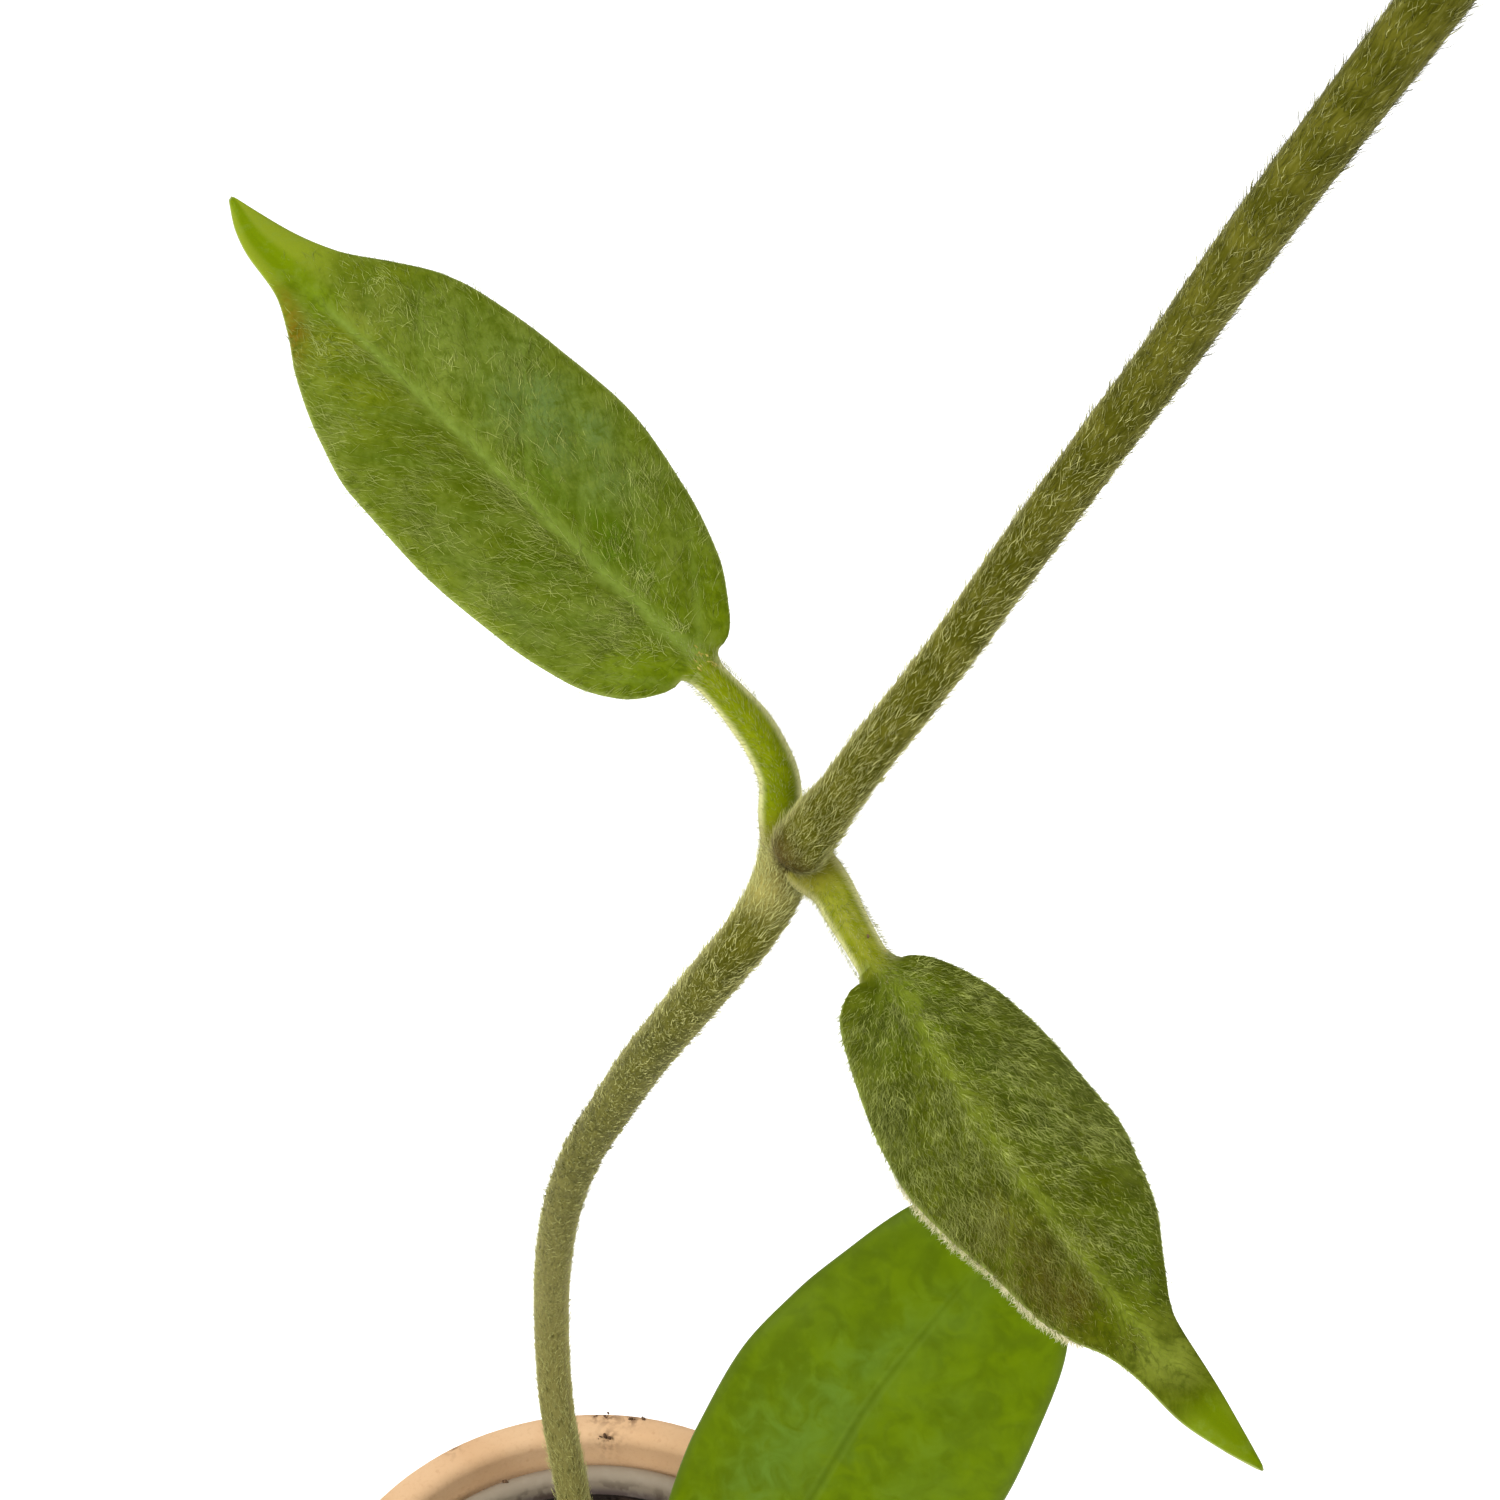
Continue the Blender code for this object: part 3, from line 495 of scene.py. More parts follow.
class Wire:
    """A socket in a material. Arithmetic adds Math nodes, and node() adds every other one."""

    def __init__(self, tree, socket=None):
        self.tree = tree
        self.socket = socket

    def node(self, kind, sockets, out=0, **settings):
        """The output of a new node: its settings are made first, then its sockets' values or links."""
        made = self.tree.nodes.new("ShaderNode" + kind)
        for name, value in settings.items():
            setattr(made, name, value)
        for key, value in sockets.items():
            if isinstance(value, Wire):
                self.tree.links.new(value.socket, made.inputs[key])
            else:
                made.inputs[key].default_value = value
        return Wire(self.tree, made.outputs[out])

    def maths(self, operation, first, second):
        return self.node("Math", {0: first, 1: second}, operation=operation)

    def __add__(self, other):
        return self.maths("ADD", self, other)

    def __radd__(self, other):
        return self.maths("ADD", other, self)

    def __sub__(self, other):
        return self.maths("SUBTRACT", self, other)

    def __rsub__(self, other):
        return self.maths("SUBTRACT", other, self)

    def __mul__(self, other):
        return self.maths("MULTIPLY", self, other)

    def __rmul__(self, other):
        return self.maths("MULTIPLY", other, self)

    def __pow__(self, other):
        return self.maths("POWER", self, other)

    def __abs__(self):
        return self.node("Math", {0: self}, operation="ABSOLUTE")

    def rising(self, low, high):
        """0 up to low, 1 from high on, and smooth between. It falls if high is the smaller."""
        limits = {"Value": self, "From Min": low, "From Max": high}
        return self.node("MapRange", limits, interpolation_type="SMOOTHSTEP")

    def hump(self, centre, reach):
        """1 at centre and 0 from reach on, either way."""
        return abs(self - centre).rising(reach, 0.0)

    def blend(self, first, second):
        """A colour that goes from first to second as this goes from 0 to 1."""
        return self.node("Mix", {0: self, 6: first, 7: second}, out=2, data_type="RGBA")

    def shades(self, first, second):
        """The same for two colours as they are seen."""
        return self.blend(seen(*first), seen(*second))

    def scaled(self, x, y, z):
        return self.node("VectorMath", {0: self, 1: (x, y, z)}, operation="MULTIPLY")

    def cloud(self, size, detail=3.0, warp=0.0, crisp=0.5):
        """Noise from 0 to 1 with patches about size millimetres across. The crisper, the more fine grain."""
        sockets = {"Scale": 1 / (size * METRES), "Detail": detail, "Distortion": warp, "Roughness": crisp}
        return self.node("TexNoise", {"Vector": self, **sockets})

    def drift(self, size, reach):
        """Noise of either sign that spans about reach in all."""
        return (self.cloud(size) - 0.5) * reach

    def cells(self, size):
        """Distance from the nearest of scattered points that lie about size millimetres apart."""
        return self.node("TexVoronoi", {"Vector": self, "Scale": 1 / (size * METRES)})

    def bump(self, strength, depth):
        """A normal from this height, for a relief of depth millimetres."""
        sockets = {"Height": self, "Strength": strength, "Distance": depth * METRES}
        return self.node("Bump", sockets)


def seen(red, green, blue):
    """The surface colour that shows as this one, in steps from 0 to 255, under the scene's light."""
    share = np.array([red, green, blue]) / 255
    linear = np.where(share < 0.04045, share / 12.92, ((share + 0.055) / 1.055) ** 2.4)
    return (*np.clip(linear / LIGHT_LEVEL, 0, 0.95).tolist(), 1.0)


def new_finish(name):
    """A material, and a wire for the place on the mesh that it colours."""
    made = bpy.data.materials.new(name)
    made.use_nodes = True
    return made, Wire(made.node_tree).node("TexCoord", {}, out=3)


def coat_with(finish, colour, roughness, shine, more):
    """Sets or links the sockets of the material's shader."""
    tree = finish.node_tree
    shader = tree.nodes["Principled BSDF"]
    sockets = {"Base Color": colour, "Roughness": roughness, "Specular IOR Level": shine, **more}
    for name, value in sockets.items():
        if isinstance(value, Wire):
            tree.links.new(value.socket, shader.inputs[name])
        else:
            shader.inputs[name].default_value = value
    return finish


def layered(ground, *layers):
    """A colour under further ones, each given as its strength, where it shows from 0 to 1, and itself."""
    for strength, share, colour in layers:
        ground = (share * strength).blend(ground, seen(*colour))
    return ground


def lengthwise(along, beside):
    """Places for streaky noise, from distances in millimetres along and beside its streaks."""
    return along.node("CombineXYZ", {0: along, 1: beside}).scaled(METRES, METRES, METRES)


def mark(wire, name):
    """A number that the mesh holds at each point."""
    return wire.node("Attribute", {}, out=2, attribute_name=name)


@dataclass
class YoungShades:
    """Colours of a young blade, as they are seen. A patch has its t and s, its reach in both, its colour and
    its strength.
    """

    ground: tuple
    patches: list
    rib: tuple
    rib_strength: float
    dark: tuple
    light: tuple
    tip: tuple
    # The next is a painted shadow: the dark line down the middle of a folded tip.
    painted_tip_fold_shadow: tuple
    tip_from: float
    mottling: float
    rib_breaks: float = 0.3
    streaking: float = 0.4
    under: tuple = (146, 156, 78)
    margin: tuple = (150, 162, 84)
    petiole: tuple = (106, 120, 0)
    petiole_light: tuple = (122, 134, 2)
    # The next is a painted rim light: the pale colour on a petiole's flanks.
    petiole_painted_rim_light: tuple = (222, 220, 156)
    joint: tuple = (104, 92, 26)
    tip_mottle: tuple = (120, 140, 50)


LEFT_SHADES = YoungShades(
    ground=(96, 110, 20),
    patches=[
        (0.42, 0.5, 0.32, 0.5, (92, 114, 56), 0.85), (0.6, 0.45, 0.16, 0.5, (104, 120, 40), 0.5),
        (0.2, 0.2, 0.13, 0.28, (70, 96, 0), 0.95), (0.08, 0.25, 0.1, 0.4, (92, 110, 0), 0.7),
        (0.34, 0.16, 0.12, 0.2, (80, 104, 20), 0.7), (0.42, -0.3, 0.2, 0.32, (74, 88, 0), 0.9),
        (0.24, -0.32, 0.1, 0.3, (72, 90, 0), 0.9), (0.36, -0.76, 0.1, 0.35, (96, 110, 44), 0.6),
        (0.5, -0.65, 0.1, 0.4, (88, 102, 16), 0.7), (0.22, -0.82, 0.12, 0.3, (108, 122, 56), 0.8),
        (0.14, -0.4, 0.08, 0.4, (110, 126, 48), 0.7), (0.06, 0.8, 0.14, 0.5, (98, 116, 0), 0.9),
        (0.03, -0.6, 0.08, 0.6, (112, 132, 6), 0.9), (0.56, 0.4, 0.1, 0.6, (118, 132, 48), 0.6),
        (0.28, -0.98, 0.34, 0.2, (108, 122, 20), 0.8), (0.6, -0.4, 0.1, 0.5, (106, 118, 4), 0.7),
        (0.7, -0.3, 0.08, 0.8, (118, 128, 12), 0.8), (0.77, -0.85, 0.09, 0.5, (116, 90, 8), 0.95),
        (0.74, 0.75, 0.1, 0.45, (104, 116, 8), 0.7), (0.78, -0.1, 0.08, 0.4, (112, 136, 0), 0.95),
        (0.7, 0.3, 0.07, 0.4, (118, 122, 50), 0.5),
    ],
    rib=(130, 151, 62),
    rib_strength=0.82,
    dark=(72, 88, 0),
    light=(114, 128, 46),
    mottling=0.6,
    streaking=0.5,
    tip=(126, 141, 30),
    painted_tip_fold_shadow=(106, 127, 0),
    tip_from=0.76,
)
RIGHT_SHADES = YoungShades(
    ground=(76, 84, 0),
    patches=[
        (0.07, 0.0, 0.15, 0.8, (86, 106, 0), 0.95), (0.1, 0.6, 0.12, 0.4, (90, 104, 26), 0.6),
        (0.34, -0.85, 0.34, 0.3, (94, 102, 44), 0.8), (0.3, -0.4, 0.28, 0.3, (74, 92, 22), 0.6),
        (0.22, 0.85, 0.14, 0.3, (96, 102, 40), 0.7), (0.46, 0.45, 0.07, 0.4, (112, 112, 34), 0.8),
        (0.61, 0.5, 0.16, 0.65, (72, 64, 0), 0.95), (0.62, -0.6, 0.14, 0.5, (78, 96, 6), 0.7),
        (0.7, 0.2, 0.06, 0.9, (88, 100, 0), 0.8), (0.78, 0.0, 0.07, 1.5, (132, 142, 52), 0.95),
    ],
    rib=(130, 144, 46),
    rib_strength=0.85,
    rib_breaks=0.7,
    dark=(52, 62, 0),
    light=(102, 112, 30),
    mottling=0.55,
    tip=(108, 126, 14),
    painted_tip_fold_shadow=(101, 120, 0),
    tip_from=0.81,
    petiole=(122, 130, 8),
    petiole_light=(148, 152, 48),
)
# Pale blue-green patches of a mature blade, a painted sheen for the sky's reflection on its gloss: t, s, the
# reach in both, and the strength.
PAINTED_SHEEN_PATCHES = [
    (0.28, -0.34, 0.34, 0.5, 0.9), (0.5, -0.14, 0.24, 0.3, 0.7), (0.2, 0.75, 0.3, 0.4, 0.5),
    (0.42, 0.5, 0.25, 0.3, 0.3), (0.68, 0.14, 0.18, 0.3, 0.35),
]


def leaf_glow(weight):
    """Light that passes a little way through a leaf, most of it green."""
    sockets = {"Weight": weight, "Radius": (0.6, 1.0, 0.1), "Scale": 0.6 * METRES}
    return {"Subsurface " + name: value for name, value in sockets.items()}


def young_leaf_finish(name, shades):
    """A soft young blade under its hairs, with its light midrib, smooth tip and yellow-green petiole."""
    finish, place = new_finish(name)
    grain = place.cloud(0.5)
    mottles = place.cloud(1.3, detail=5.0, warp=0.3, crisp=0.68)
    clouds = place.cloud(4.0, detail=6.0, warp=0.5, crisp=0.62)
    flow, beside_flow = mark(place, "flow") * 0.12, mark(place, "beside_flow")
    streaks = lengthwise(flow, beside_flow + place.drift(2.6, 1.6)).cloud(0.26, detail=4.0, crisp=0.6)
    across = mark(place, "across")
    t = mark(place, "along") + place.drift(4.0, 0.1)
    s = across + place.scaled(1.1, 1.1, 1.1).drift(3.4, 0.45)
    ground = (clouds.rising(0.4, 0.66) * 0.55).shades(shades.ground, shades.light)
    for at_t, at_s, reach_t, reach_s, colour, strength in shades.patches:
        share = t.hump(at_t, reach_t) * s.hump(at_s, reach_s) * (0.6 + 0.8 * clouds)
        ground = layered(ground, (strength, share, colour))
    rib_breaks = 1 - shades.rib_breaks * streaks.rising(0.6, 0.4)
    rib = mark(place, "rib") * t.rising(0.84, 0.7) * rib_breaks * (0.7 + 0.6 * mottles)
    ground = layered(
        ground,
        # Painted shade in bands along the sunken side veins.
        (0.5, mark(place, "fold").rising(0.1, 1.0) * clouds.rising(0.62, 0.42), shades.dark),
        (shades.mottling, mottles.rising(0.52, 0.36), shades.dark),
        (shades.mottling * 0.8, mottles.rising(0.5, 0.68), shades.light),
        (0.25, mark(place, "vein"), shades.rib),
        (shades.rib_strength, rib, shades.rib),
        (shades.streaking, streaks.rising(0.52, 0.7), shades.light),
        (shades.streaking, streaks.rising(0.48, 0.3), shades.dark),
        (0.2, grain.rising(0.55, 0.3), shades.dark),
    )
    tip = t.rising(shades.tip_from, shades.tip_from + 0.09)
    # Painted shadow of the folded tip: darker along the midrib near the tip.
    tip_colour = mark(place, "painted_tip_fold_shadow").rising(0.25, 0.85).shades(shades.tip, shades.painted_tip_fold_shadow)
    tip_colour = layered(tip_colour, (0.3, mottles.rising(0.5, 0.66), shades.tip_mottle))
    ground = layered(
        tip.blend(ground, tip_colour),
        (0.6, abs(across).rising(0.955, 1.0), shades.margin),
        (1, mark(place, "under"), shades.under),
    )
    lines = lengthwise(flow, beside_flow).cloud(0.5, detail=2.0)
    stalk = (lines * 0.4 + mottles * 0.6).rising(0.38, 0.62)
    stalk = layered(
        stalk.shades(shades.petiole, shades.petiole_light),
        # Painted rim light: the petiole is paler on its flanks, which stand edge on to LIGHT_WAY.
        (1, mark(place, "painted_rim_light").rising(0.18, 0.6) * (0.55 + 0.5 * mottles), shades.petiole_painted_rim_light),
        (0.75, mark(place, "joint").rising(0.25, 0.9), shades.joint),
    )
    relief = grain * 0.5 + place.cloud(0.2, detail=2.0) * 0.3 + streaks * 0.4
    return coat_with(finish, mark(place, "petiole").blend(ground, stalk), 0.6 - 0.1 * tip, 0.02, {
        **leaf_glow(0.1),
        "Sheen Weight": 0.5,
        "Sheen Roughness": 0.25,
        "Sheen Tint": (0.85, 0.85, 0.5, 1),
        "Normal": relief.bump(0.35, 0.1),
    })


def mature_leaf_finish():
    """A smooth, waxy, deep yellow-green blade with a soft dark midrib and faint pale patches of painted
    sheen.
    """
    finish, place = new_finish("waxy leaf")
    clouds = place.cloud(7.0, detail=4.0, warp=1.2)
    drifts = place.cloud(3.0, detail=4.0, warp=1.0)
    specks = place.cloud(1.3)
    across = mark(place, "across")
    t = mark(place, "along") + place.drift(6.0, 0.3)
    s = across + (drifts - 0.5) * 0.5 + place.scaled(1.1, 1.1, 1.1).drift(5.0, 0.5)
    ground = layered(
        clouds.rising(0.34, 0.66).shades((80, 100, 0), (92, 114, 0)),
        (0.5, drifts.rising(0.48, 0.7), (98, 120, 0)),
        (0.4, drifts.rising(0.48, 0.3), (76, 94, 0)),
    )
    # Painted sheen: pale blue-green patches where the gloss would reflect the sky.
    for at_t, at_s, reach_t, reach_s, strength in PAINTED_SHEEN_PATCHES:
        share = t.hump(at_t, reach_t) * s.hump(at_s, reach_s) * drifts.rising(0.2, 0.7)
        ground = layered(ground, (strength, share, (92, 120, 36)))
    rib = mark(place, "rib") * (0.75 + 0.5 * place.cloud(2.4))
    ground = layered(
        ground,
        (0.2, mark(place, "vein"), (76, 98, 0)),
        # The next, a pale band beside the midrib, is painted sheen too.
        (0.25, rib.rising(0.05, 0.45) * rib.rising(0.98, 0.6) * t.rising(1.0, 0.5), (100, 124, 36)),
        (0.6, rib.rising(0.3, 1.0) * t.rising(0.95, 0.3), (72, 92, 10)),
        (0.16, specks.rising(0.55, 0.75), (106, 130, 30)),
        (0.5, abs(across).rising(0.9, 1.0), (84, 102, 30)),
        (1, mark(place, "under"), (122, 140, 56)),
    )
    stalk = clouds.rising(0.4, 0.7).shades((98, 112, 4), (116, 126, 28))
    colour = mark(place, "petiole").blend(ground, stalk)
    relief = place.cloud(1.1, detail=2.0) * 0.5 + specks * 0.5
    more = {**leaf_glow(0.08), "Normal": relief.bump(0.15, 0.1)}
    return coat_with(finish, colour, 0.32 + 0.12 * specks, 0.035, more)


def stem_finish():
    """Dark olive bark under the hairs, greyer towards the soil, and purple-brown at the fresh joint."""
    finish, place = new_finish("olive stem")
    old = mark(place, "old")
    flow = lengthwise(mark(place, "along") * 0.16, mark(place, "around") + place.drift(3.0, 1.2))
    fine = flow.cloud(0.3)
    ground = layered(
        place.cloud(3.0, detail=4.0).rising(0.35, 0.65).shades((70, 70, 0), (92, 90, 20)),
        (0.85, old * old, (134, 127, 72)),
        (0.65, fine.rising(0.5, 0.3), (50, 50, 0)),
        (0.45, fine.rising(0.52, 0.72), (122, 120, 56)),
        # Painted rim light: the bark is paler on the stem's flanks, which stand edge on to LIGHT_WAY.
        (0.5, mark(place, "painted_rim_light").rising(0.3, 0.9), (178, 172, 104)),
        (1, mark(place, "pale") * (0.2 + 0.9 * fine), (176, 166, 92)),
        (0.75, mark(place, "blush"), (84, 66, 32)),
        # Painted shade in the crease under the upper stretch's foot.
        (0.85, mark(place, "crease"), (72, 58, 8)),
    )
    relief = fine * 0.7 + place.cloud(0.35, detail=2.0) * 0.3
    return coat_with(finish, ground, 0.75, 0.04, {
        "Sheen Weight": 0.3,
        "Sheen Roughness": 0.3,
        "Sheen Tint": (0.85, 0.8, 0.55, 1),
        "Normal": relief.bump(0.5, 0.2),
    })


def hair_finish(name, dark, light, warm=(126, 108, 40), clearness=0.0):
    """Fine plant hairs, each with its own shade, paler towards its tip and warmer on blushed skin."""
    finish, place = new_finish(name)
    tone = mark(place, "tone")
    paleness = (tone * 0.8 + mark(place, "reach") * 0.2).rising(0.0, 1.0)
    colour = layered(paleness.shades(dark, light), (0.6, mark(place, "warm"), warm))
    return coat_with(finish, colour, 0.5 - 0.1 * tone, 0.04, {"Alpha": 1 - clearness})


def clay_finish():
    """Pale peach clay with a chalky bloom, fine grit and a few smears of soil on its rim."""
    finish, place = new_finish("peach clay")
    bloom = place.cloud(9.0, detail=4.0, warp=0.5)
    grit = place.cloud(0.5)
    ground = layered(
        bloom.rising(0.3, 0.7).shades((224, 182, 138), (232, 193, 150)),
        (0.3, grit.rising(0.5, 0.75), (204, 160, 116)),
        (0.3, place.cells(2.6).rising(0.14, 0.05), (196, 150, 108)),
        (0.85, mark(place, "smear") * place.cloud(0.9, detail=4.0).rising(0.4, 0.6), (104, 74, 52)),
    )
    relief = grit * 0.5 + place.cloud(0.18, detail=2.0) * 0.3 + bloom * 0.2
    return coat_with(finish, ground, 0.72 + 0.14 * grit, 0.1, {"Normal": relief.bump(0.4, 0.15)})


def plastic_finish():
    """Grey moulded plastic: painted light on the rolled lip, painted shade below it, scuffs and soil dust."""
    finish, place = new_finish("grey plastic")
    height = place.node("SeparateXYZ", {0: place}, out=2)
    lip = height.rising((LINER_TOP - LINER_LIP) * METRES, (LINER_TOP - 0.45 * LINER_LIP) * METRES)
    scuffs = place.cloud(1.2, detail=4.0)
    low = height.rising(LINER_TOP * METRES, SOIL_TOP * METRES)
    dirt = place.cloud(2.5, detail=4.0).rising(0.5, 0.62) * low
    ground = layered(
        # Painted light and shade: lighter on the rolled lip, darker on the wall below it.
        lip.shades((98, 84, 80), (158, 144, 124)),
        (0.2, scuffs.rising(0.45, 0.7), (176, 164, 146)),
        (0.6, dirt, (74, 58, 46)),
    )
    return coat_with(finish, ground, 0.45 + 0.25 * scuffs, 0.15, {"Normal": scuffs.bump(0.3, 0.08)})


def soil_finish(name, dark, light):
    """Damp potting mix: near black with browner grains."""
    finish, place = new_finish(name)
    grains = place.cells(0.9).rising(0.1, 0.5)
    clods = place.cloud(3.0, detail=4.0)
    ground = layered(clods.rising(0.35, 0.7).shades(dark, light), (0.4, grains, dark))
    relief = grains * 0.6 + place.cloud(0.3) * 0.4
    return coat_with(finish, ground, 0.85 + 0.1 * clods, 0.2, {"Normal": relief.bump(0.7, 0.3)})


def gland_finish():
    """The tan glands that sit where a blade meets its petiole."""
    finish, place = new_finish("tan gland")
    colour = place.cloud(0.5).rising(0.35, 0.65).shades((144, 130, 34), (190, 174, 84))
    return coat_with(finish, colour, 0.5, 0.15, {})


def new_object(name, points, faces, finish, marks=None):
    """A smooth-shaded object in the scene from points in millimetres."""
    mesh = bpy.data.meshes.new(name)
    mesh.from_pydata((np.asarray(points, float) * METRES).tolist(), [], faces)
    obj = bpy.data.objects.new(name, mesh)
    bpy.context.scene.collection.objects.link(obj)
    mesh.materials.append(finish)
    mesh.shade_smooth()
    for label, values in (marks or {}).items():
        add_mark(obj, label, values)
    return obj


def add_mark(obj, label, values):
    """Keeps a number at each point of the mesh, for its material."""
    attribute = obj.data.attributes.new(label, "FLOAT", "POINT")
    attribute.data.foreach_set("value", np.asarray(values, np.float32))


def points_of(obj):
    """The mesh's points in millimetres."""
    flat = np.empty(len(obj.data.vertices) * 3, np.float32)
    obj.data.vertices.foreach_get("co", flat)
    return flat.reshape(-1, 3).astype(float) / METRES


def piece(obj, slot, *nodes):
    """Makes an object part of the plant or pot, standing for the nodes that it replaces."""
    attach(obj, "root")
    if nodes:
        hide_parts(*nodes)
    return obj


def union(obj, others):
    """The object joined with the others into one skin. The others are removed."""
    helpers = bpy.data.collections.new("helpers")
    for other in others:
        helpers.objects.link(other)
    change = obj.modifiers.new("Union", "BOOLEAN")
    change.operation = "UNION"
    change.operand_type = "COLLECTION"
    change.collection = helpers
    change.solver = "EXACT"
    graph = bpy.context.evaluated_depsgraph_get()
    mesh = bpy.data.meshes.new_from_object(obj.evaluated_get(graph))
    obj.modifiers.clear()
    obj.data = mesh
    for other in others:
        bpy.data.objects.remove(other)
    bpy.data.collections.remove(helpers)
    return obj


def grid_faces(rows, columns, round_about=False):
    """Four-sided faces of a grid of points. A round one closes on itself across its columns."""
    return [
        (row * columns + column, row * columns + (column + 1) % columns,
         (row + 1) * columns + (column + 1) % columns, (row + 1) * columns + column)
        for row in range(rows - 1)
        for column in range(columns if round_about else columns - 1)
    ]


def closed_skin(name, rings, poles, finish, inside_out=False):
    """A closed skin over rings of points, with a fan from a pole at each end."""
    rows, sides = rings.shape[:2]
    count = rows * sides
    faces = grid_faces(rows, sides, round_about=True)
    for i in range(sides):
        beside = (i + 1) % sides
        faces += [(count, beside, i), (count + 1, count - sides + i, count - sides + beside)]
    if inside_out:
        faces = [face[::-1] for face in faces]
    return new_object(name, np.concatenate([rings.reshape(-1, 3), poles]), faces, finish)


class Limb:
    """A round stem or petiole: its centre line at even steps, with its directions and radius there."""

    DOME = np.radians([80, 62, 42, 20])
    # How far round the end hairs still grow, in radians
    STEEPEST = 1.4
    # Any way that no limb starts in
    ASIDE = (0.31, 0.52, 0.79)

    def __init__(self, points, girth, spacing):
        self.centre, self.at = smooth_route(points, spacing)
        self.radius = through(girth, self.at)
        self.along = units(np.gradient(self.centre, axis=0))
        self.side = np.empty_like(self.centre)
        way = np.cross(self.along[0], self.ASIDE)
        for i, along in enumerate(self.along):
            way = unit(way - np.dot(way, along) * along)
            self.side[i] = way
        self.up = np.cross(self.along, self.side)

    def reading(self, rows, at):
        """Rows of directions or points read off at distances along the limb."""
        return np.stack([np.interp(at, self.at, column) for column in rows.T], axis=1)

    def skin(self, at, angle):
        """Points at a distance along and an angle round, with the ways out and along there.

        A distance below 0 lies on the round end.
        """
        side, up = self.reading(self.side, at), self.reading(self.up, at)
        around = units(side * np.cos(angle)[:, None] + up * np.sin(angle)[:, None])
        along = units(self.reading(self.along, at))
        radius = np.interp(at, self.at, self.radius)[:, None]
        tilt = np.clip(-at[:, None] / radius, 0, self.STEEPEST)
        cos, sin = np.cos(tilt), np.sin(tilt)
        place = self.reading(self.centre, at) + radius * (around * cos - BLUNTNESS * along * sin)
        return place, around * cos - along * sin, along * cos + around * sin

    def shape(self, name, sides, finish, relief=None):
        """The limb's closed skin with round ends. relief gives how far points stand proud."""
        first, last = self.radius[0], self.radius[-1]
        start = [self.centre[0] - self.along[0] * first * BLUNTNESS * math.sin(a) for a in self.DOME]
        end = [self.centre[-1] + self.along[-1] * last * math.sin(a) for a in reversed(self.DOME)]
        centre = np.concatenate([start, self.centre, end])
        radius = np.concatenate([first * np.cos(self.DOME), self.radius, last * np.cos(self.DOME[::-1])])
        caps = len(self.DOME)
        side, up = (
            np.concatenate([[rows[0]] * caps, rows, [rows[-1]] * caps]) for rows in (self.side, self.up)
        )
        angle = np.linspace(0, 2 * np.pi, sides, endpoint=False)
        out = side[:, None] * np.cos(angle)[None, :, None] + up[:, None] * np.sin(angle)[None, :, None]
        rings = centre[:, None] + out * radius[:, None, None]
        if relief:
            rings = rings + out * relief(rings.reshape(-1, 3)).reshape(*rings.shape[:2], 1)
        poles = [self.centre[0] - self.along[0] * first * BLUNTNESS, self.centre[-1] + self.along[-1] * last]
        return closed_skin(name, rings, poles, finish)


def limb_places(points, limbs):
    """For each point, the nearest limb's number, the distance along it and the distance round it."""
    best = np.full(len(points), np.inf)
    which, along, around = (np.zeros(len(points)) for _ in range(3))
    for number, limb in enumerate(limbs):
        for part in np.array_split(np.arange(len(points)), max(1, len(points) // 4000)):
            away = np.linalg.norm(points[part][:, None] - limb.centre[None], axis=2) / limb.radius[None]
            near = away.argmin(1)
            closer = away.min(1) < best[part]
            offset = points[part] - limb.centre[near]
            angle = np.arctan2((offset * limb.up[near]).sum(1), (offset * limb.side[near]).sum(1))
            chosen = part[closer]
            best[chosen] = away.min(1)[closer]
            which[chosen] = number
            along[chosen] = limb.at[near][closer] + (offset * limb.along[near]).sum(1)[closer]
            around[chosen] = (angle * limb.radius[near])[closer]
    return which, along, around


def painted_rim_light_share(outs, alongs, points):
    """Painted rim light: 1 on a stalk's two flanks, 0 on its side that faces LIGHT_WAY, fading up the shoot.
    """
    light = unit(LIGHT_WAY)
    light = units(light - np.outer(alongs @ light, np.ones(3)) * alongs)
    return (1 - np.abs((outs * light).sum(1))) * clamped((RIM_LIGHT_TOP - points[:, 2]) / RIM_LIGHT_FADE)


def mark_painted_rim_light(obj, limbs):
    """Marks how far each point of a skin lies on the flanks of the nearest limb, for its painted rim light.
    """
    points = points_of(obj)
    which, at, _ = limb_places(points, limbs)
    alongs = np.empty_like(points)
    for number, limb in enumerate(limbs):
        alongs[which == number] = limb.reading(limb.along, at[which == number])
    outs = np.empty(len(points) * 3, np.float32)
    obj.data.vertex_normals.foreach_get("vector", outs)
    add_mark(obj, "painted_rim_light", painted_rim_light_share(outs.reshape(-1, 3), alongs, points))


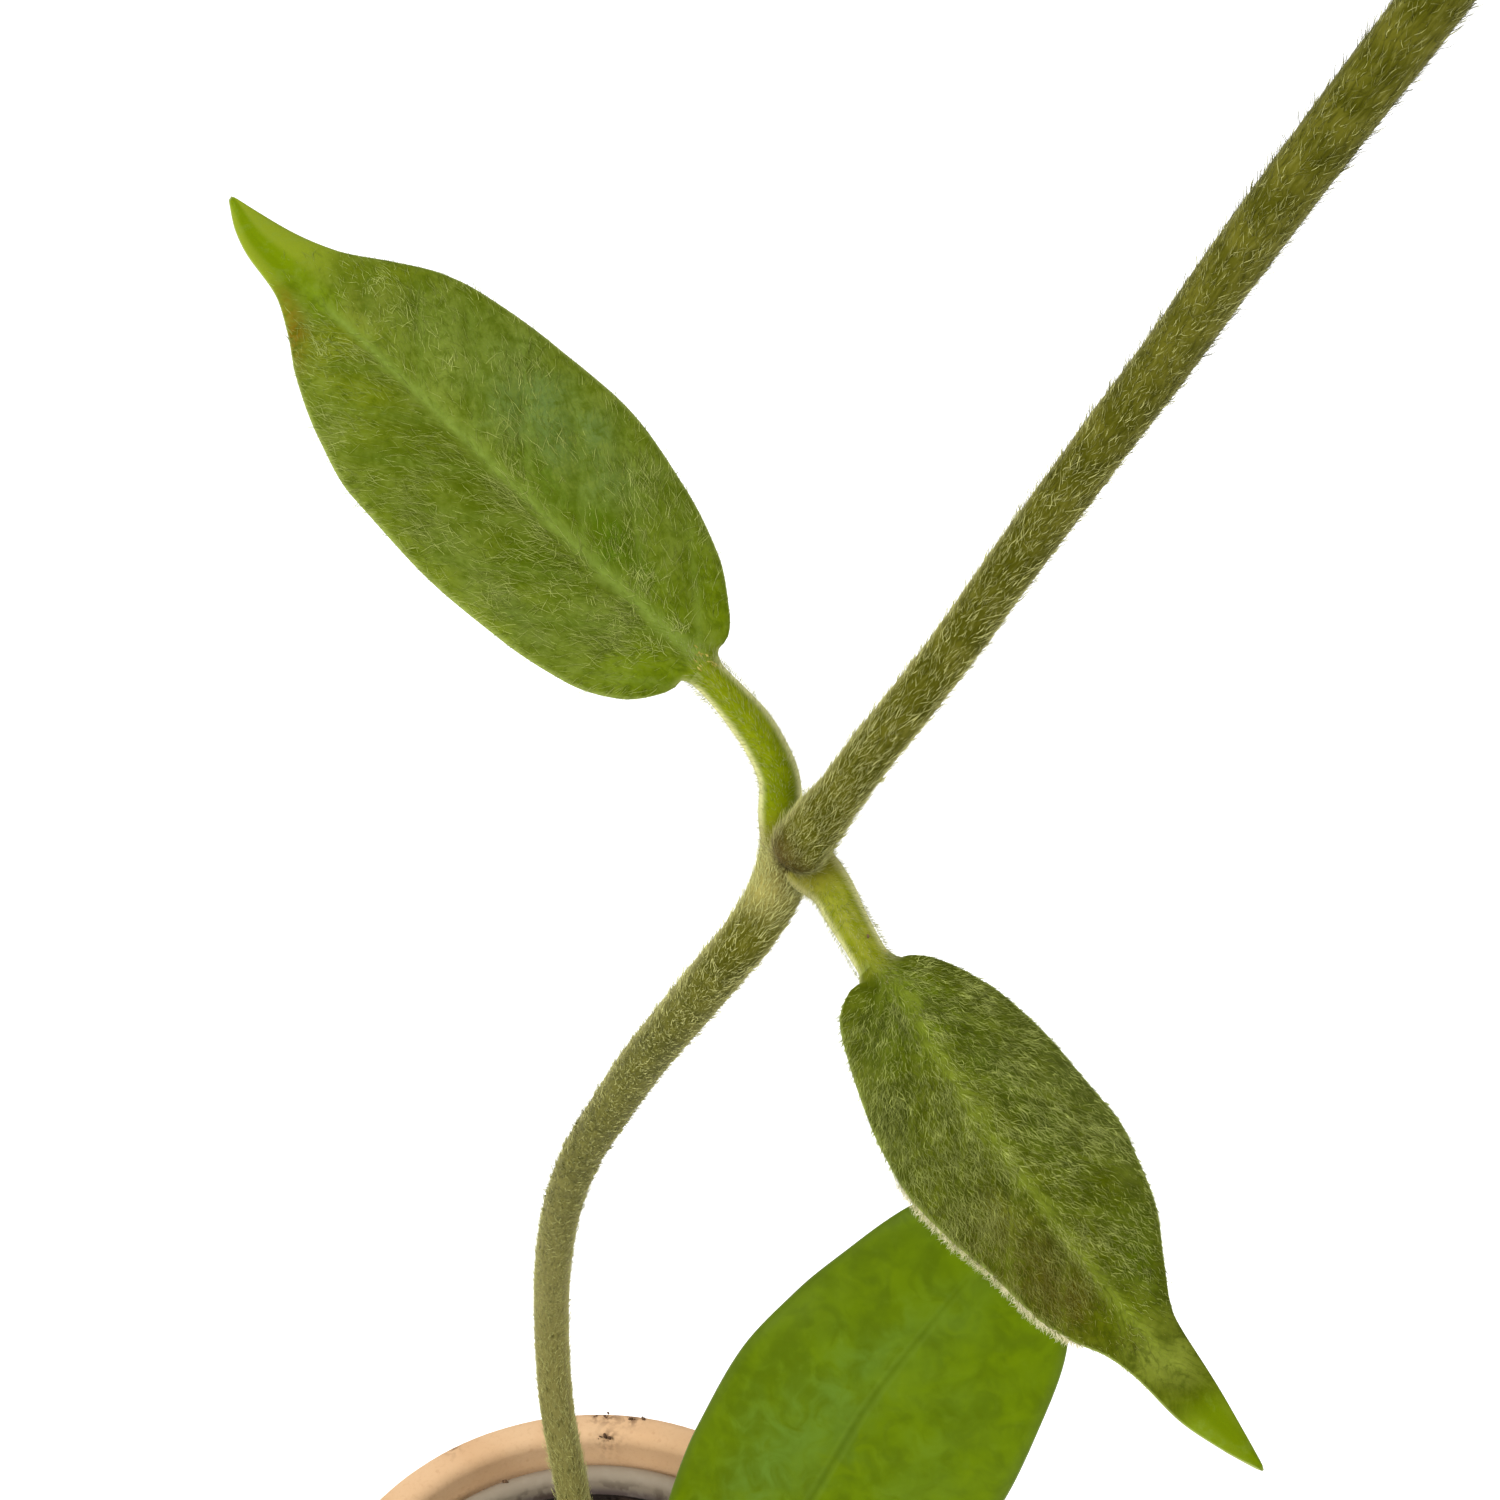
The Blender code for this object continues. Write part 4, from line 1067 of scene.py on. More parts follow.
def hairs(name, roots, ways, normals, lengths, widths, finish, draw, lift, curl, wave, steps, tone, warm,
          rarity):
    """Three-sided tapering hairs in one mesh. Each leaves its root along its way and lifts off the skin."""
    inside = np.all((roots > BOX_LOW + BOX_MARGIN) & (roots < BOX_HIGH - BOX_MARGIN), axis=1)
    lifts, tone, warm = (np.broadcast_to(value, len(roots)) for value in (lift, tone, warm))
    roots, ways, normals, lengths, widths, lifts, tone, warm = (
        rows[inside] for rows in (roots, ways, normals, lengths, widths, lifts, tone, warm)
    )
    count = len(roots)
    across = np.cross(normals, ways)
    lifts = lifts * draw.uniform(0.4, 1.6, count)
    curls = curl * draw.normal(0, 1, count)
    phase = draw.uniform(0, 1, count)[:, None]
    u = np.linspace(0, 1, steps + 1)
    sway = curls[:, None] * (u**2)[None]
    sway = sway + wave * (np.sin(2 * np.pi * (1.3 * u[None] + phase)) - np.sin(2 * np.pi * phase))
    rise = lifts[:, None] * (u * (1.25 - 0.55 * u))[None]
    path = ways[:, None] * u[None, :, None] + normals[:, None] * rise[..., None]
    path = lengths[:, None, None] * (path + across[:, None] * sway[..., None])
    path = np.clip(roots[:, None] - normals[:, None] * ROOT_DEPTH + path, BOX_LOW, BOX_HIGH)
    angle = draw.uniform(0, 2 * np.pi, count)
    girth = widths[:, None] / 2 * np.sqrt(1 - u[:-1] * 0.92)[None]
    corners = []
    for turn in (0, 2 * np.pi / 3, 4 * np.pi / 3):
        way = normals * np.cos(angle + turn)[:, None] + across * np.sin(angle + turn)[:, None]
        corners.append(path[:, :-1] + way[:, None] * girth[..., None])
    rings = np.stack(corners, axis=2).reshape(count, -1, 3)
    points = np.concatenate([rings, path[:, -1:]], axis=1)
    each = points.shape[1]
    last = 3 * (steps - 1)
    one = [(0, 1, 2)]
    one += [(3 * row + i, 3 * row + 3 + i, 3 * row + 3 + (i + 1) % 3, 3 * row + (i + 1) % 3)
            for row in range(steps - 1) for i in range(3)]
    one += [(last + i, each - 1, last + (i + 1) % 3) for i in range(3)]
    faces = [tuple(corner + each * hair for corner in face) for hair in range(count) for face in one]
    reach = np.concatenate([np.repeat(u[:-1], 3), [1.0]])
    tone = clamped(tone + draw.beta(1.2, rarity, count))
    marks = {"tone": np.repeat(tone, each), "reach": np.tile(reach, count), "warm": np.repeat(warm, each)}
    return new_object(name, points.reshape(-1, 3), faces, finish, marks)


def joined(name, objects):
    """Several objects with one finish as one object."""
    first, *others = objects
    shape = bmesh.new()
    for obj in objects:
        shape.from_mesh(obj.data)
    shape.to_mesh(first.data)
    shape.free()
    for other in others:
        bpy.data.objects.remove(other)
    first.name = name
    return first


def leaf_axes(leaf):
    """The leaf's length, and its directions along, to the right and out of the upper face."""
    base, tip = np.array(leaf.base), np.array(leaf.tip)
    along = unit(tip - base)
    face = unit(np.array(leaf.face) - np.dot(leaf.face, along) * along)
    return np.linalg.norm(tip - base), along, np.cross(along, face), face


def lobe_drop(leaf, t, s):
    """How far the base's lobes reach back past the petiole."""
    return leaf.lobe * np.abs(s) ** 2 * clamped(1 - t / 0.2) ** 2


def blade_height(leaf, t, s, half):
    """How far the blade's middle surface lies out of the plane through base and tip."""
    out = np.abs(s)
    height = through(leaf.rise, t) + half * (leaf.fold * out - leaf.roll * out**2)
    return height + leaf.wave * out**3 * np.sin(2 * np.pi * (leaf.waves * t + 0.25 * np.sign(s)))


def blade_points(leaf, t, s):
    """Points of the blade's middle surface, and how far each is from the midrib."""
    length, along, across, face = leaf_axes(leaf)
    midrib = through(leaf.sway, t)
    margin = np.where(s < 0, -through(leaf.left, t), through(leaf.right, t))
    half = np.abs(margin - midrib)
    sideways = midrib + (margin - midrib) * np.abs(s)
    centre = np.array(leaf.base) + np.outer(length * t - lobe_drop(leaf, t, s), along)
    height = blade_height(leaf, t, s, half)
    return centre + np.outer(sideways, across) + np.outer(height, face), half * np.abs(s)


def blade_places(leaf, points):
    """Where points lie on the blade: t, s, the distance from the midrib and the height over it."""
    length, along, across, face = leaf_axes(leaf)
    offset = points - np.array(leaf.base)
    forward, sideways = offset @ along, offset @ across
    t = forward / length
    for _ in range(6):
        midrib = through(leaf.sway, t)
        right = sideways >= midrib
        half = np.where(right, through(leaf.right, t) - midrib, through(leaf.left, t) + midrib)
        s = (sideways - midrib) / half
        t = (forward + lobe_drop(leaf, t, np.clip(s, -1, 1))) / length
    return t, s, np.abs(sideways - midrib), offset @ face - blade_height(leaf, t, np.clip(s, -1, 1), half)


def vein_phase(leaf, t, s, off):
    """How many vein spacings a place lies along the midrib, following the slant of the side veins."""
    length = np.linalg.norm(np.array(leaf.tip) - np.array(leaf.base))
    place = t * length - VEIN_SLANT * off - VEIN_BEND * off**2
    return place / leaf.vein_spacing + np.where(s < 0, 0.5, 0)


def side_veins(leaf, t, s, off):
    """1 on the veins that leave the midrib at a slant, fading to 0 beside them and at the margin."""
    phase = vein_phase(leaf, t, s, off)
    away = np.abs(phase - np.round(phase)) * leaf.vein_spacing
    fade = clamped((1 - np.abs(s)) / 0.35) * clamped((0.85 - t) / 0.2)
    return bell(away, VEIN_WIDTH) * fade


def rounding(share):
    """A quarter circle's rise from 0 to 1."""
    share = clamped(share)
    return np.sqrt(share * (2 - share))


def blade_skin(leaf, t, s, side):
    """Points of the upper face, for a side of 1, or the lower face, for -1."""
    middle, off = blade_points(leaf, t, s)
    thickness = leaf.thickness * (1 - MARGIN_THINNING * np.abs(s))
    thickness = thickness * np.sqrt(clamped(1 - np.abs(s) ** MARGIN_ROUNDING))
    thickness = thickness * rounding(t / BASE_ROUNDING) * rounding((1 - t) / TIP_ROUNDING)
    rib = bell(off, RIB_WIDTH) * clamped(1.1 - t) * rounding(t / BASE_ROUNDING)
    vein = side_veins(leaf, t, s, off) * leaf.vein_depth
    if side > 0:
        swell = 0.12 * np.cos(2 * np.pi * vein_phase(leaf, t, s, off)) * clamped((1 - np.abs(s)) / 0.5)
        swell = swell * clamped(np.abs(s) / 0.2) * clamped((0.85 - t) / 0.2)
        height = thickness / 2 - GROOVE_DEPTH * leaf.thickness * rib * clamped(t / 0.1) - vein - swell
    else:
        height = -(thickness / 2 + RIB_DEPTH * leaf.thickness * rib + vein)
    return middle + np.outer(height, leaf_axes(leaf)[3])


def blade(leaf, finish):
    """The closed blade: an upper and a lower face that meet in a rounded margin."""
    rows, columns = leaf.rows + 1, leaf.columns + 1
    even = np.linspace(0, 1, rows)
    t_line = 0.3 * even + 0.45 * (1 - np.cos(np.pi * even)) / 2 + 0.25 * even**2
    even = np.linspace(-1, 1, columns)
    s_line = 0.3 * even + 0.7 * np.sin(np.pi / 2 * even)
    t, s = (grid.ravel() for grid in np.meshgrid(t_line, s_line, indexing="ij"))
    upper, lower = blade_skin(leaf, t, s, 1), blade_skin(leaf, t, s, -1)
    ripple = rough(upper, 4.5, 3)[:, None] * 0.09 * rounding((1 - np.abs(s)) / 0.2)[:, None]
    upper = upper + ripple * leaf_axes(leaf)[3]
    edge = (t == 0) | (t == 1) | (np.abs(s) == 1)
    upper[edge] = (upper[edge] + lower[edge]) / 2
    under = np.where(edge, np.arange(len(t)), len(t) + np.cumsum(~edge) - 1)
    faces = grid_faces(rows, columns)
    faces = faces + [tuple(int(under[i]) for i in reversed(face)) for face in faces]
    return new_object(leaf.name + "_blade", np.concatenate([upper, lower[~edge]]), faces, finish)


def petiole_limb(leaf):
    """The petiole from inside the stem to the blade, and on under it as the start of the midrib."""
    face = leaf_axes(leaf)[3]
    run_t, below, shares = np.array(PETIOLE_RUN).T
    run = blade_points(leaf, run_t, np.zeros(len(run_t)))[0] - np.outer(below * leaf.thickness / 1.2, face)
    free = [point for point in leaf.petiole[:-1] if blade_places(leaf, np.array([point]))[0][0] < -0.02]
    points = free + [tuple(point) for point in run]
    places = distances(points)[1]
    to_blade = places[len(free) - 1] + 0.7 * (places[len(free)] - places[len(free) - 1])
    taper = [(0, leaf.collar)] + PETIOLE_TAPER
    girth = [(share * to_blade, size * leaf.petiole_radius) for share, size in taper]
    girth += [(places[len(free) + i], size * leaf.petiole_radius) for i, size in enumerate(shares)]
    return Limb(points, girth, PETIOLE_SPACING)


def soften(obj, limb, reach, near, rounds):
    """Smooths the seam round a limb, within reach of its skin and near the given point and distance."""
    centre, distance = near
    shape = bmesh.new()
    shape.from_mesh(obj.data)
    middle = Vector(centre) * METRES
    seam = [corner for corner in shape.verts if (corner.co - middle).length < distance * METRES]
    edges = list({edge for corner in seam for edge in corner.link_edges})
    bmesh.ops.dissolve_degenerate(shape, dist=0.06 * METRES, edges=edges)
    bmesh.ops.delete(shape, geom=[edge for edge in shape.edges if edge.is_wire], context="EDGES")
    shape.to_mesh(obj.data)
    shape.free()
    points = points_of(obj)
    close = np.flatnonzero(np.linalg.norm(points - centre, axis=1) < distance)
    away = np.linalg.norm(points[close][:, None] - limb.centre[None], axis=2) - limb.radius[None]
    share = np.zeros((len(points), 1))
    fade = clamped(2 - 2 * np.linalg.norm(points[close] - centre, axis=1) / distance)
    share[close, 0] = bell(away.min(1), reach) * fade
    ends = np.empty(len(obj.data.edges) * 2, np.int32)
    obj.data.edges.foreach_get("vertices", ends)
    pairs = ends.reshape(-1, 2)
    pairs = pairs[(share[pairs[:, 0], 0] > 0) | (share[pairs[:, 1], 0] > 0)]
    count = np.maximum(np.bincount(pairs.ravel(), minlength=len(points)), 1)[:, None]
    for _ in range(rounds):
        total = np.zeros_like(points)
        np.add.at(total, pairs[:, 0], points[pairs[:, 1]])
        np.add.at(total, pairs[:, 1], points[pairs[:, 0]])
        points = points + 0.6 * share * (total / count - points)
    obj.data.vertices.foreach_set("co", (points * METRES).ravel())


def leaf_marks(leaf, points):
    """What a leaf's material needs to know at each point of its mesh."""
    t, s, off, height = blade_places(leaf, points)
    length = leaf_axes(leaf)[0]
    inside = clamped(np.abs(s))
    skin = leaf.thickness * (1 - MARGIN_THINNING * inside) / 2
    below = -height - skin - RIB_DEPTH * leaf.thickness * bell(off, RIB_WIDTH) - 0.3
    outside = np.maximum(-t * length + 0.2, np.where((height < 0) & (t < 0.12), below, -1))
    t, s = clamped(t), np.clip(s, -1, 1)
    fade = clamped(np.abs(s) / 0.15) * clamped((1 - np.abs(s)) / 0.3) * clamped((0.8 - t) / 0.1)
    cos, sin = math.cos(FLOW_ANGLE), math.sin(FLOW_ANGLE)
    return {
        "along": t,
        "across": s,
        "rib": bell(off, 0.3 + leaf.rib_spread * (1 - t)),
        # Painted shadow of the folded tip, along its midrib.
        "painted_tip_fold_shadow": bell(off, 0.3 + 7 * (1 - t)),
        "vein": side_veins(leaf, t, s, off),
        # Where painted shade falls in bands, along the sunken side veins.
        "fold": 0.5 + 0.5 * np.cos(2 * np.pi * vein_phase(leaf, t, s, off)) * fade,
        "flow": t * length * cos + off * sin,
        "beside_flow": (off * cos - t * length * sin) * np.where(s < 0, -1, 1),
        "petiole": clamped(outside / 1.2),
        "joint": bell(np.linalg.norm(points - np.array(leaf.petiole[0]), axis=1), 4.2),
        "under": clamped(0.5 - height / 0.3),
    }


def fur(leaf, coat, side, name, finish, draw):
    """The hairs on one face of a blade. They point to the tip and fan out from the midrib."""
    length = leaf_axes(leaf)[0]
    widest = max(size for _, size in leaf.right + leaf.left)
    t = draw.uniform(0.012, coat.ends_at + COAT_FADE, coat.count * 4)
    s = draw.uniform(-0.985, 0.985, len(t))
    half = np.where(s < 0, through(leaf.left, t), through(leaf.right, t))
    thinning = clamped((coat.ends_at + COAT_FADE - t) / (2 * COAT_FADE)) * (0.65 + 0.35 * clamped(t / 0.1))
    if coat.patchy:
        middle = blade_points(leaf, t, s)[0]
        thinning = thinning * np.clip(1 - coat.patchy * (0.5 - 1.3 * rough(middle, 5.0, 4)), 0.1, 1)
    for *place, share in coat.bare:
        thinning = thinning * (1 - share * spot(t, s, place))
    kept = draw.uniform(0, widest, len(t)) < half * thinning
    t, s = t[kept][: coat.count], s[kept][: coat.count]
    plain = len(t)
    for at_t, at_s, reach, count in coat.tufts:
        t = np.append(t, at_t + draw.normal(0, 0.5, count) * reach / length)
        s = np.append(s, at_s + draw.normal(0, 0.5, count) * reach / (0.7 * widest))
    s = np.clip(s, -0.98, 0.98)
    tufted = len(t)
    t = np.append(t, draw.uniform(*coat.fringe_reach, coat.fringe))
    s = np.append(s, 0.998 * draw.choice(coat.fringe_sides, coat.fringe))
    number = np.arange(len(t))
    in_tuft, at_fringe = (number >= plain) & (number < tufted), number >= tufted
    step = 0.004
    here = blade_skin(leaf, t, s, side)
    forward = units(blade_skin(leaf, t + step, s, side) - here)
    outward = units(here - blade_skin(leaf, t, s * (1 - step * 3), side))
    normal = units(np.cross(outward * np.sign(s)[:, None], forward)) * side
    outward = units(outward - (outward * forward).sum(1)[:, None] * forward)
    angle = coat.near_rib + (coat.far_off - coat.near_rib) * np.abs(s) ** 0.7
    angle = angle + coat.swirl * rough(here, 7.0, 5)
    angle = angle + draw.normal(0, 1, len(t)) * np.where(in_tuft, TUFT_STRAY, coat.stray)
    angle = np.radians(angle + np.where(at_fringe, FRINGE_SPLAY, 0))
    ways = forward * np.cos(angle)[:, None] + outward * np.sin(angle)[:, None]
    lengths = draw.uniform(*coat.lengths, len(t)) * (0.7 + 0.3 * clamped((coat.ends_at - t) / 0.3))
    lengths = np.where(in_tuft, 0.6 * lengths, lengths)
    lengths = np.where(at_fringe, draw.uniform(*coat.fringe_lengths, len(t)), lengths)
    widths = coat.width * draw.uniform(0.7, 1.2, len(t))
    lift = np.where(in_tuft, 0.3, coat.lift)
    tone = np.where(in_tuft, 0.35, np.where(at_fringe, 0.45, 0.0)) + 0.18 * rough(here, 3.0, 12)
    tone = tone + coat.clumps * rough(here, 1.0, 21)
    tone = tone + coat.rib_light * spot(t, s, (0.45, 0, 0.22, 0.13))
    return hairs(name, here, ways, normal, lengths, widths, finish, draw, lift, coat.curl, coat.wave,
                 coat.steps, tone, spot(t, s, coat.warm), coat.rarity)


def limb_fur(name, limb, count, lengths, width, finish, draw, start=0.0, end=None, thick=(1, 1), lean=0.35,
             stray=0.4, lift=0.2, steps=3, tone=None, warm=None, rarity=2.2):
    """Hairs that lie along a limb, pointing to its end and leaning round it.

    How thickly they grow goes evenly from the first value of thick, at start, to the second, at end.
    """
    part = np.linspace(0, 1, 60)
    share = np.cumsum(thick[0] + (thick[1] - thick[0]) * part)
    at = start + ((end or limb.at[-1]) - start) * np.interp(draw.uniform(0, share[-1], count), share, part)
    angle = draw.uniform(0, 2 * np.pi, count)
    roots, out, along = limb.skin(at, angle)
    round_about = np.cross(out, along)
    turn = lean * rough(roots, 5.0, 8) + draw.normal(0, stray, count)
    ways = along * np.cos(turn)[:, None] + round_about * np.sin(turn)[:, None]
    sizes = draw.uniform(*lengths, count)
    widths = width * draw.uniform(0.7, 1.2, count)
    tones = (tone(roots) if tone else 0) + 0.18 * rough(roots, 2.5, 12)
    # Painted rim light: hairs on a stalk's flanks are paler.
    tones = tones + 0.6 * clamped(painted_rim_light_share(out, along, roots) - 0.35)
    return hairs(name, roots, ways, out, sizes, widths, finish, draw, lift, 0.15, 0.05, steps, tones,
                 warm(roots) if warm else 0.0, rarity)


def joint_pad(leaf, finish):
    """A low mound where the petiole meets the blade, which fills the crease between them."""
    along, across, face = leaf_axes(leaf)[1:]
    size = leaf.petiole_radius / 1.8
    shape = bmesh.new()
    bmesh.ops.create_icosphere(shape, subdivisions=4, radius=1)
    middle = np.array(leaf.base) + (along * PAD_PLACE[0] + face * PAD_PLACE[1]) * size
    reach = [way * reach * size for way, reach in zip((along, across, face), PAD_REACH)]
    points = [middle + sum(share * way for share, way in zip(corner.co, reach)) for corner in shape.verts]
    faces = [tuple(corner.index for corner in face.verts)[::-1] for face in shape.faces]
    shape.free()
    return new_object("pad", points, faces, finish)


def glands(leaf, finish, draw):
    """Tan finger-shaped glands that lie in a cluster on the joint of blade and petiole."""
    length, along, across, face = leaf_axes(leaf)
    fingers = []
    for _ in range(GLAND_COUNT):
        forward, sideways = draw.uniform(-1.6, 0.9), draw.uniform(-0.75, 0.75)
        place = np.array(leaf.base) + along * forward + across * sideways
        place = place + face * (0.64 - 0.12 * sideways**2 - 0.12 * min(forward, 0))
        turn = Matrix((along, -across, face)).transposed().to_4x4()
        turn = turn @ Matrix.Rotation(draw.normal(0, 0.5), 4, "Z")
        sizes = [draw.uniform(0.4, 0.8), draw.uniform(0.13, 0.2), draw.uniform(0.12, 0.18)]
        own_draw = random.Random(int(draw.integers(1e6)))
        fingers.append(lump(own_draw, Matrix.Translation(place) @ turn, sizes, 2))
    return gathered(leaf.name + "_glands", fingers, finish)


def grow_leaf(leaf, finish, hair, stalk_hair, rim_hair, gland, seed):
    """A blade with its petiole in one skin, and the hairs and glands that it wears."""
    draw = np.random.default_rng(seed)
    limb = petiole_limb(leaf)
    whole = union(blade(leaf, finish), [limb.shape("stalk", PETIOLE_SIDES, finish), joint_pad(leaf, finish)])
    soften(whole, limb, SEAM_REACH, (np.array(leaf.base), 4 * leaf.petiole_radius), SEAM_ROUNDS)
    for label, values in leaf_marks(leaf, points_of(whole)).items():
        add_mark(whole, label, values)
    whole.data.shade_smooth()
    mark_painted_rim_light(whole, [limb])
    piece(whole, leaf.slot, leaf.name)
    if leaf.coats:
        coats = [fur(leaf, coat, 1, "upper hairs", hair, draw) for coat in leaf.coats]
        piece(joined(leaf.name + "_hairs", coats), leaf.slot)
        piece(fur(leaf, leaf.under_coat, -1, leaf.name + "_under_hairs", hair, draw), leaf.slot)
        piece(limb_fur(leaf.name + "_stalk_hairs", limb, leaf.petiole_hairs, (0.2, 0.5), 0.036, stalk_hair,
                       draw, end=limb.at[-1] * FREE_PETIOLE, lift=2.4, steps=1), leaf.slot)
        if leaf.rim_coat:
            piece(fur(leaf, leaf.rim_coat, 1, leaf.name + "_rim_hairs", rim_hair, draw), leaf.slot)
        piece(glands(leaf, gland, draw), leaf.slot)


def grow_stem(finish, hair):
    """The two stretches of the stem in one skin, under a coat of short hairs that point to the tip."""
    limbs = [
        Limb(points, [(place, share * STEM_RADIUS) for place, share in girth], STEM_SPACING)
        for points, girth in ((LOWER_STEM, LOWER_GIRTH), (UPPER_STEM, UPPER_GIRTH))
    ]
    lower, upper = (
        limb.shape(name, STEM_SIDES, finish, relief=lambda points: 0.05 * rough(points, 2.2, 6))
        for limb, name in zip(limbs, ("stem_skin", "upper stretch"))
    )
    whole = union(lower, [upper])
    points = points_of(whole)
    which, along, around = limb_places(points, limbs)
    marks = {
        "along": along + PATTERN_SHIFT * which,
        "around": around,
        "blush": np.where(which == 1, joint_blush(points), 0),
        # Painted shade under the upper stretch's foot.
        "crease": painted_crease_shade(points),
        "pale": np.where(which == 0, joint_fuzz(points), 0),
        "old": np.where(which == 0, clamped((OLD_BARK_END - along) / OLD_BARK_FADE), 0),
    }
    for label, values in marks.items():
        add_mark(whole, label, values)
    whole.data.shade_smooth()
    mark_painted_rim_light(whole, limbs)
    piece(whole, "stem", "stem")
    draw = np.random.default_rng(STEM_SEED)
    lower, upper = limbs
    growths = [
        ("stem_hairs", lower, dict(start=16.0, thick=(0.55, 1), tone=lower_tone)),
        ("stem_upper_hairs", upper, dict(start=-3.0, thick=(1, 0.5), tone=upper_tone, warm=joint_blush)),
    ]
    for name, limb, growth in growths:
        coats = [
            limb_fur(name, limb, count, lengths, width, hair, draw, lean=0.3, stray=0.26, lift=lift,
                     steps=steps, rarity=1.5, **growth)
            for count, lengths, width, lift, steps in STEM_COATS
        ]
        piece(joined(name, coats), "stem")
    down = dict(finish=hair, draw=draw, lengths=(0.35, 0.8), stray=0.5, steps=1)
    long = dict(finish=hair, draw=draw, lean=0.25, stray=0.24, steps=2)
    coats = [
        limb_fur("stem_down", lower, 3600, width=0.038, start=lower.at[-1] - 9, thick=(0, 1), lift=0.7,
                 tone=lambda roots: 0.2 + 0.5 * joint_fuzz(roots), **down),
        limb_fur("stem_down", upper, 3600, width=0.036, start=-3, end=14, thick=(1, 0), lift=0.6,
                 tone=lambda roots: 0.2 + upper_tone(roots), warm=joint_blush, **down),
        limb_fur("stem_down", lower, 2300, lengths=(0.8, 1.6), width=0.08, start=38, thick=(0.3, 1),
                 lift=0.25, tone=long_hair_tone, **long),
        # These long hairs are darker in the crease, as painted shade.
        limb_fur("stem_down", upper, 520, lengths=(0.9, 1.7), width=0.066, start=-2, end=52,
                 thick=(1, 0.2), lift=0.3, tone=lambda roots: 0.5 - 0.4 * painted_crease_shade(roots),
                 warm=joint_blush, **long),
    ]
    piece(joined("stem_down", coats), "stem")


def near_joint(points, joint, offset, reach, fade):
    """1 around a place beside a joint of the stem and 0 from reach on."""
    return clamped((reach - np.linalg.norm(points - np.array(joint) - offset, axis=1)) / fade)


def joint_blush(points):
    """The left of the upper stretch's swollen foot, where the skin is purple-brown."""
    return near_joint(points, UPPER_STEM[0], (-1.7, -0.9, -0.3), 3.0, 2)


def painted_crease_shade(points):
    """The crease under the upper stretch's foot, where skin and hairs are darkened as painted shade."""
    return near_joint(points, UPPER_STEM[0], (-0.4, -1.3, -2.2), 3.0, 1.6)


def joint_fuzz(points):
    """The top left of the lower stretch, where the hairs are thick and pale."""
    return near_joint(points, LOWER_STEM[-1], (-1.7, -1.8, -1.0), 5.6, 3.2)


def lower_tone(roots):
    """How much paler the lower stretch's hairs are: its middle, which leans to the light, has painted shade.
    """
    height = roots[:, 2]
    near, low, middle = ((height - 160) / 30, (150 - height) / 40, 1 - np.abs(height - 143) / 42)
    near, low, middle = (clamped(share) for share in (near, low, middle))
    # Its last term darkens the middle, which leans to the light, as painted shade.
    return 0.06 + 0.3 * joint_fuzz(roots) + 0.36 * near + 0.55 * low - 0.22 * middle


def long_hair_tone(roots):
    """How much paler the longest hairs of the lower stretch are: palest near the joint."""
    return 0.85 - 0.4 * clamped((170 - roots[:, 2]) / 30)


def upper_tone(roots):
    """How much paler or darker the upper stretch's hairs are: darkest at the top, with painted shade in the
    crease.
    """
    return 0.14 - 0.5 * clamped((roots[:, 2] - 225) / 90) - 0.5 * painted_crease_shade(roots)


def ring(radius, height, sides):
    """Points evenly round the Z axis."""
    angles = np.linspace(0, 2 * np.pi, sides, endpoint=False)
    return [(radius * math.cos(a), radius * math.sin(a), height) for a in angles]


def turned(name, profile, finish, sides):
    """A solid turned about Z from a profile that runs from the axis up the inside and down the outside."""
    rings = np.array([ring(radius, height, sides) for radius, height in profile if radius > 0])
    return closed_skin(name, rings, [(0, 0, profile[0][1]), (0, 0, profile[-1][1])], finish, inside_out=True)


def arc(centre, radius, start, end, steps):
    """Points of an arc, (radius, height) each, with angles in degrees from +X towards +Z."""
    angles = np.radians(np.linspace(start, end, steps + 1))
    return [(centre[0] + radius * math.cos(a), centre[1] + radius * math.sin(a)) for a in angles]


def pot_inner_radius(height):
    return POT_INNER_RADIUS - (POT_HEIGHT - height) * POT_INNER_SLOPE


def liner_inner_radius(height):
    return pot_inner_radius(height) - GAP - LINER_LIP


def straight(start, end, steps):
    """Evenly spaced points from start up to, but not including, end."""
    return [tuple(np.array(start) + (np.array(end) - np.array(start)) * i / steps) for i in range(steps)]


def clay_pot(finish):
    edge = POT_LIP_ROUNDING * POT_LIP
    lip_height = POT_HEIGHT - edge
    floor_radius = pot_inner_radius(POT_FLOOR)
    profile = [(0, POT_FLOOR)] + straight((4, POT_FLOOR), (floor_radius - 1, POT_FLOOR), 4)
    profile += arc((floor_radius - 1, POT_FLOOR + 1), 1, -90, 0, 4)
    profile += straight((floor_radius, POT_FLOOR + 2), (POT_INNER_RADIUS, lip_height - 1), 24)
    profile += arc((POT_INNER_RADIUS + edge, lip_height), edge, 180, 90, 10)
    profile += arc((POT_RIM_RADIUS - edge, lip_height), edge, 90, 0, 10)
    profile += straight((POT_RIM_RADIUS, lip_height - 1), (POT_FOOT_RADIUS + 1, 3), 30)
    profile += [(POT_FOOT_RADIUS + 0.7, 2.0), (POT_FOOT_RADIUS, 1), (POT_FOOT_RADIUS - 1, 0), (12, 0), (0, 0)]
    pot = turned("clay_pot_body", profile, finish, POT_SIDES)
    points = points_of(pot)
    out = units(points * (1, 1, 0) + (1e-9, 0, 0))
    wobble = 0.12 * rough(points, 14, 2) + 0.05 * rough(points, 3.0, 4)
    shy = clamped(points[:, 2] / 4) * clamped((POT_HEIGHT - points[:, 2]) / 2 + 0.4)
    points = points + out * (wobble * shy)[:, None]
    pot.data.vertices.foreach_set("co", (points * METRES).ravel())
    smears = [bell(np.linalg.norm(points - place, axis=1), reach) for place, reach in RIM_SMEARS]
    add_mark(pot, "smear", np.max(smears, axis=0))
    return piece(pot, "clay", "clay_pot")


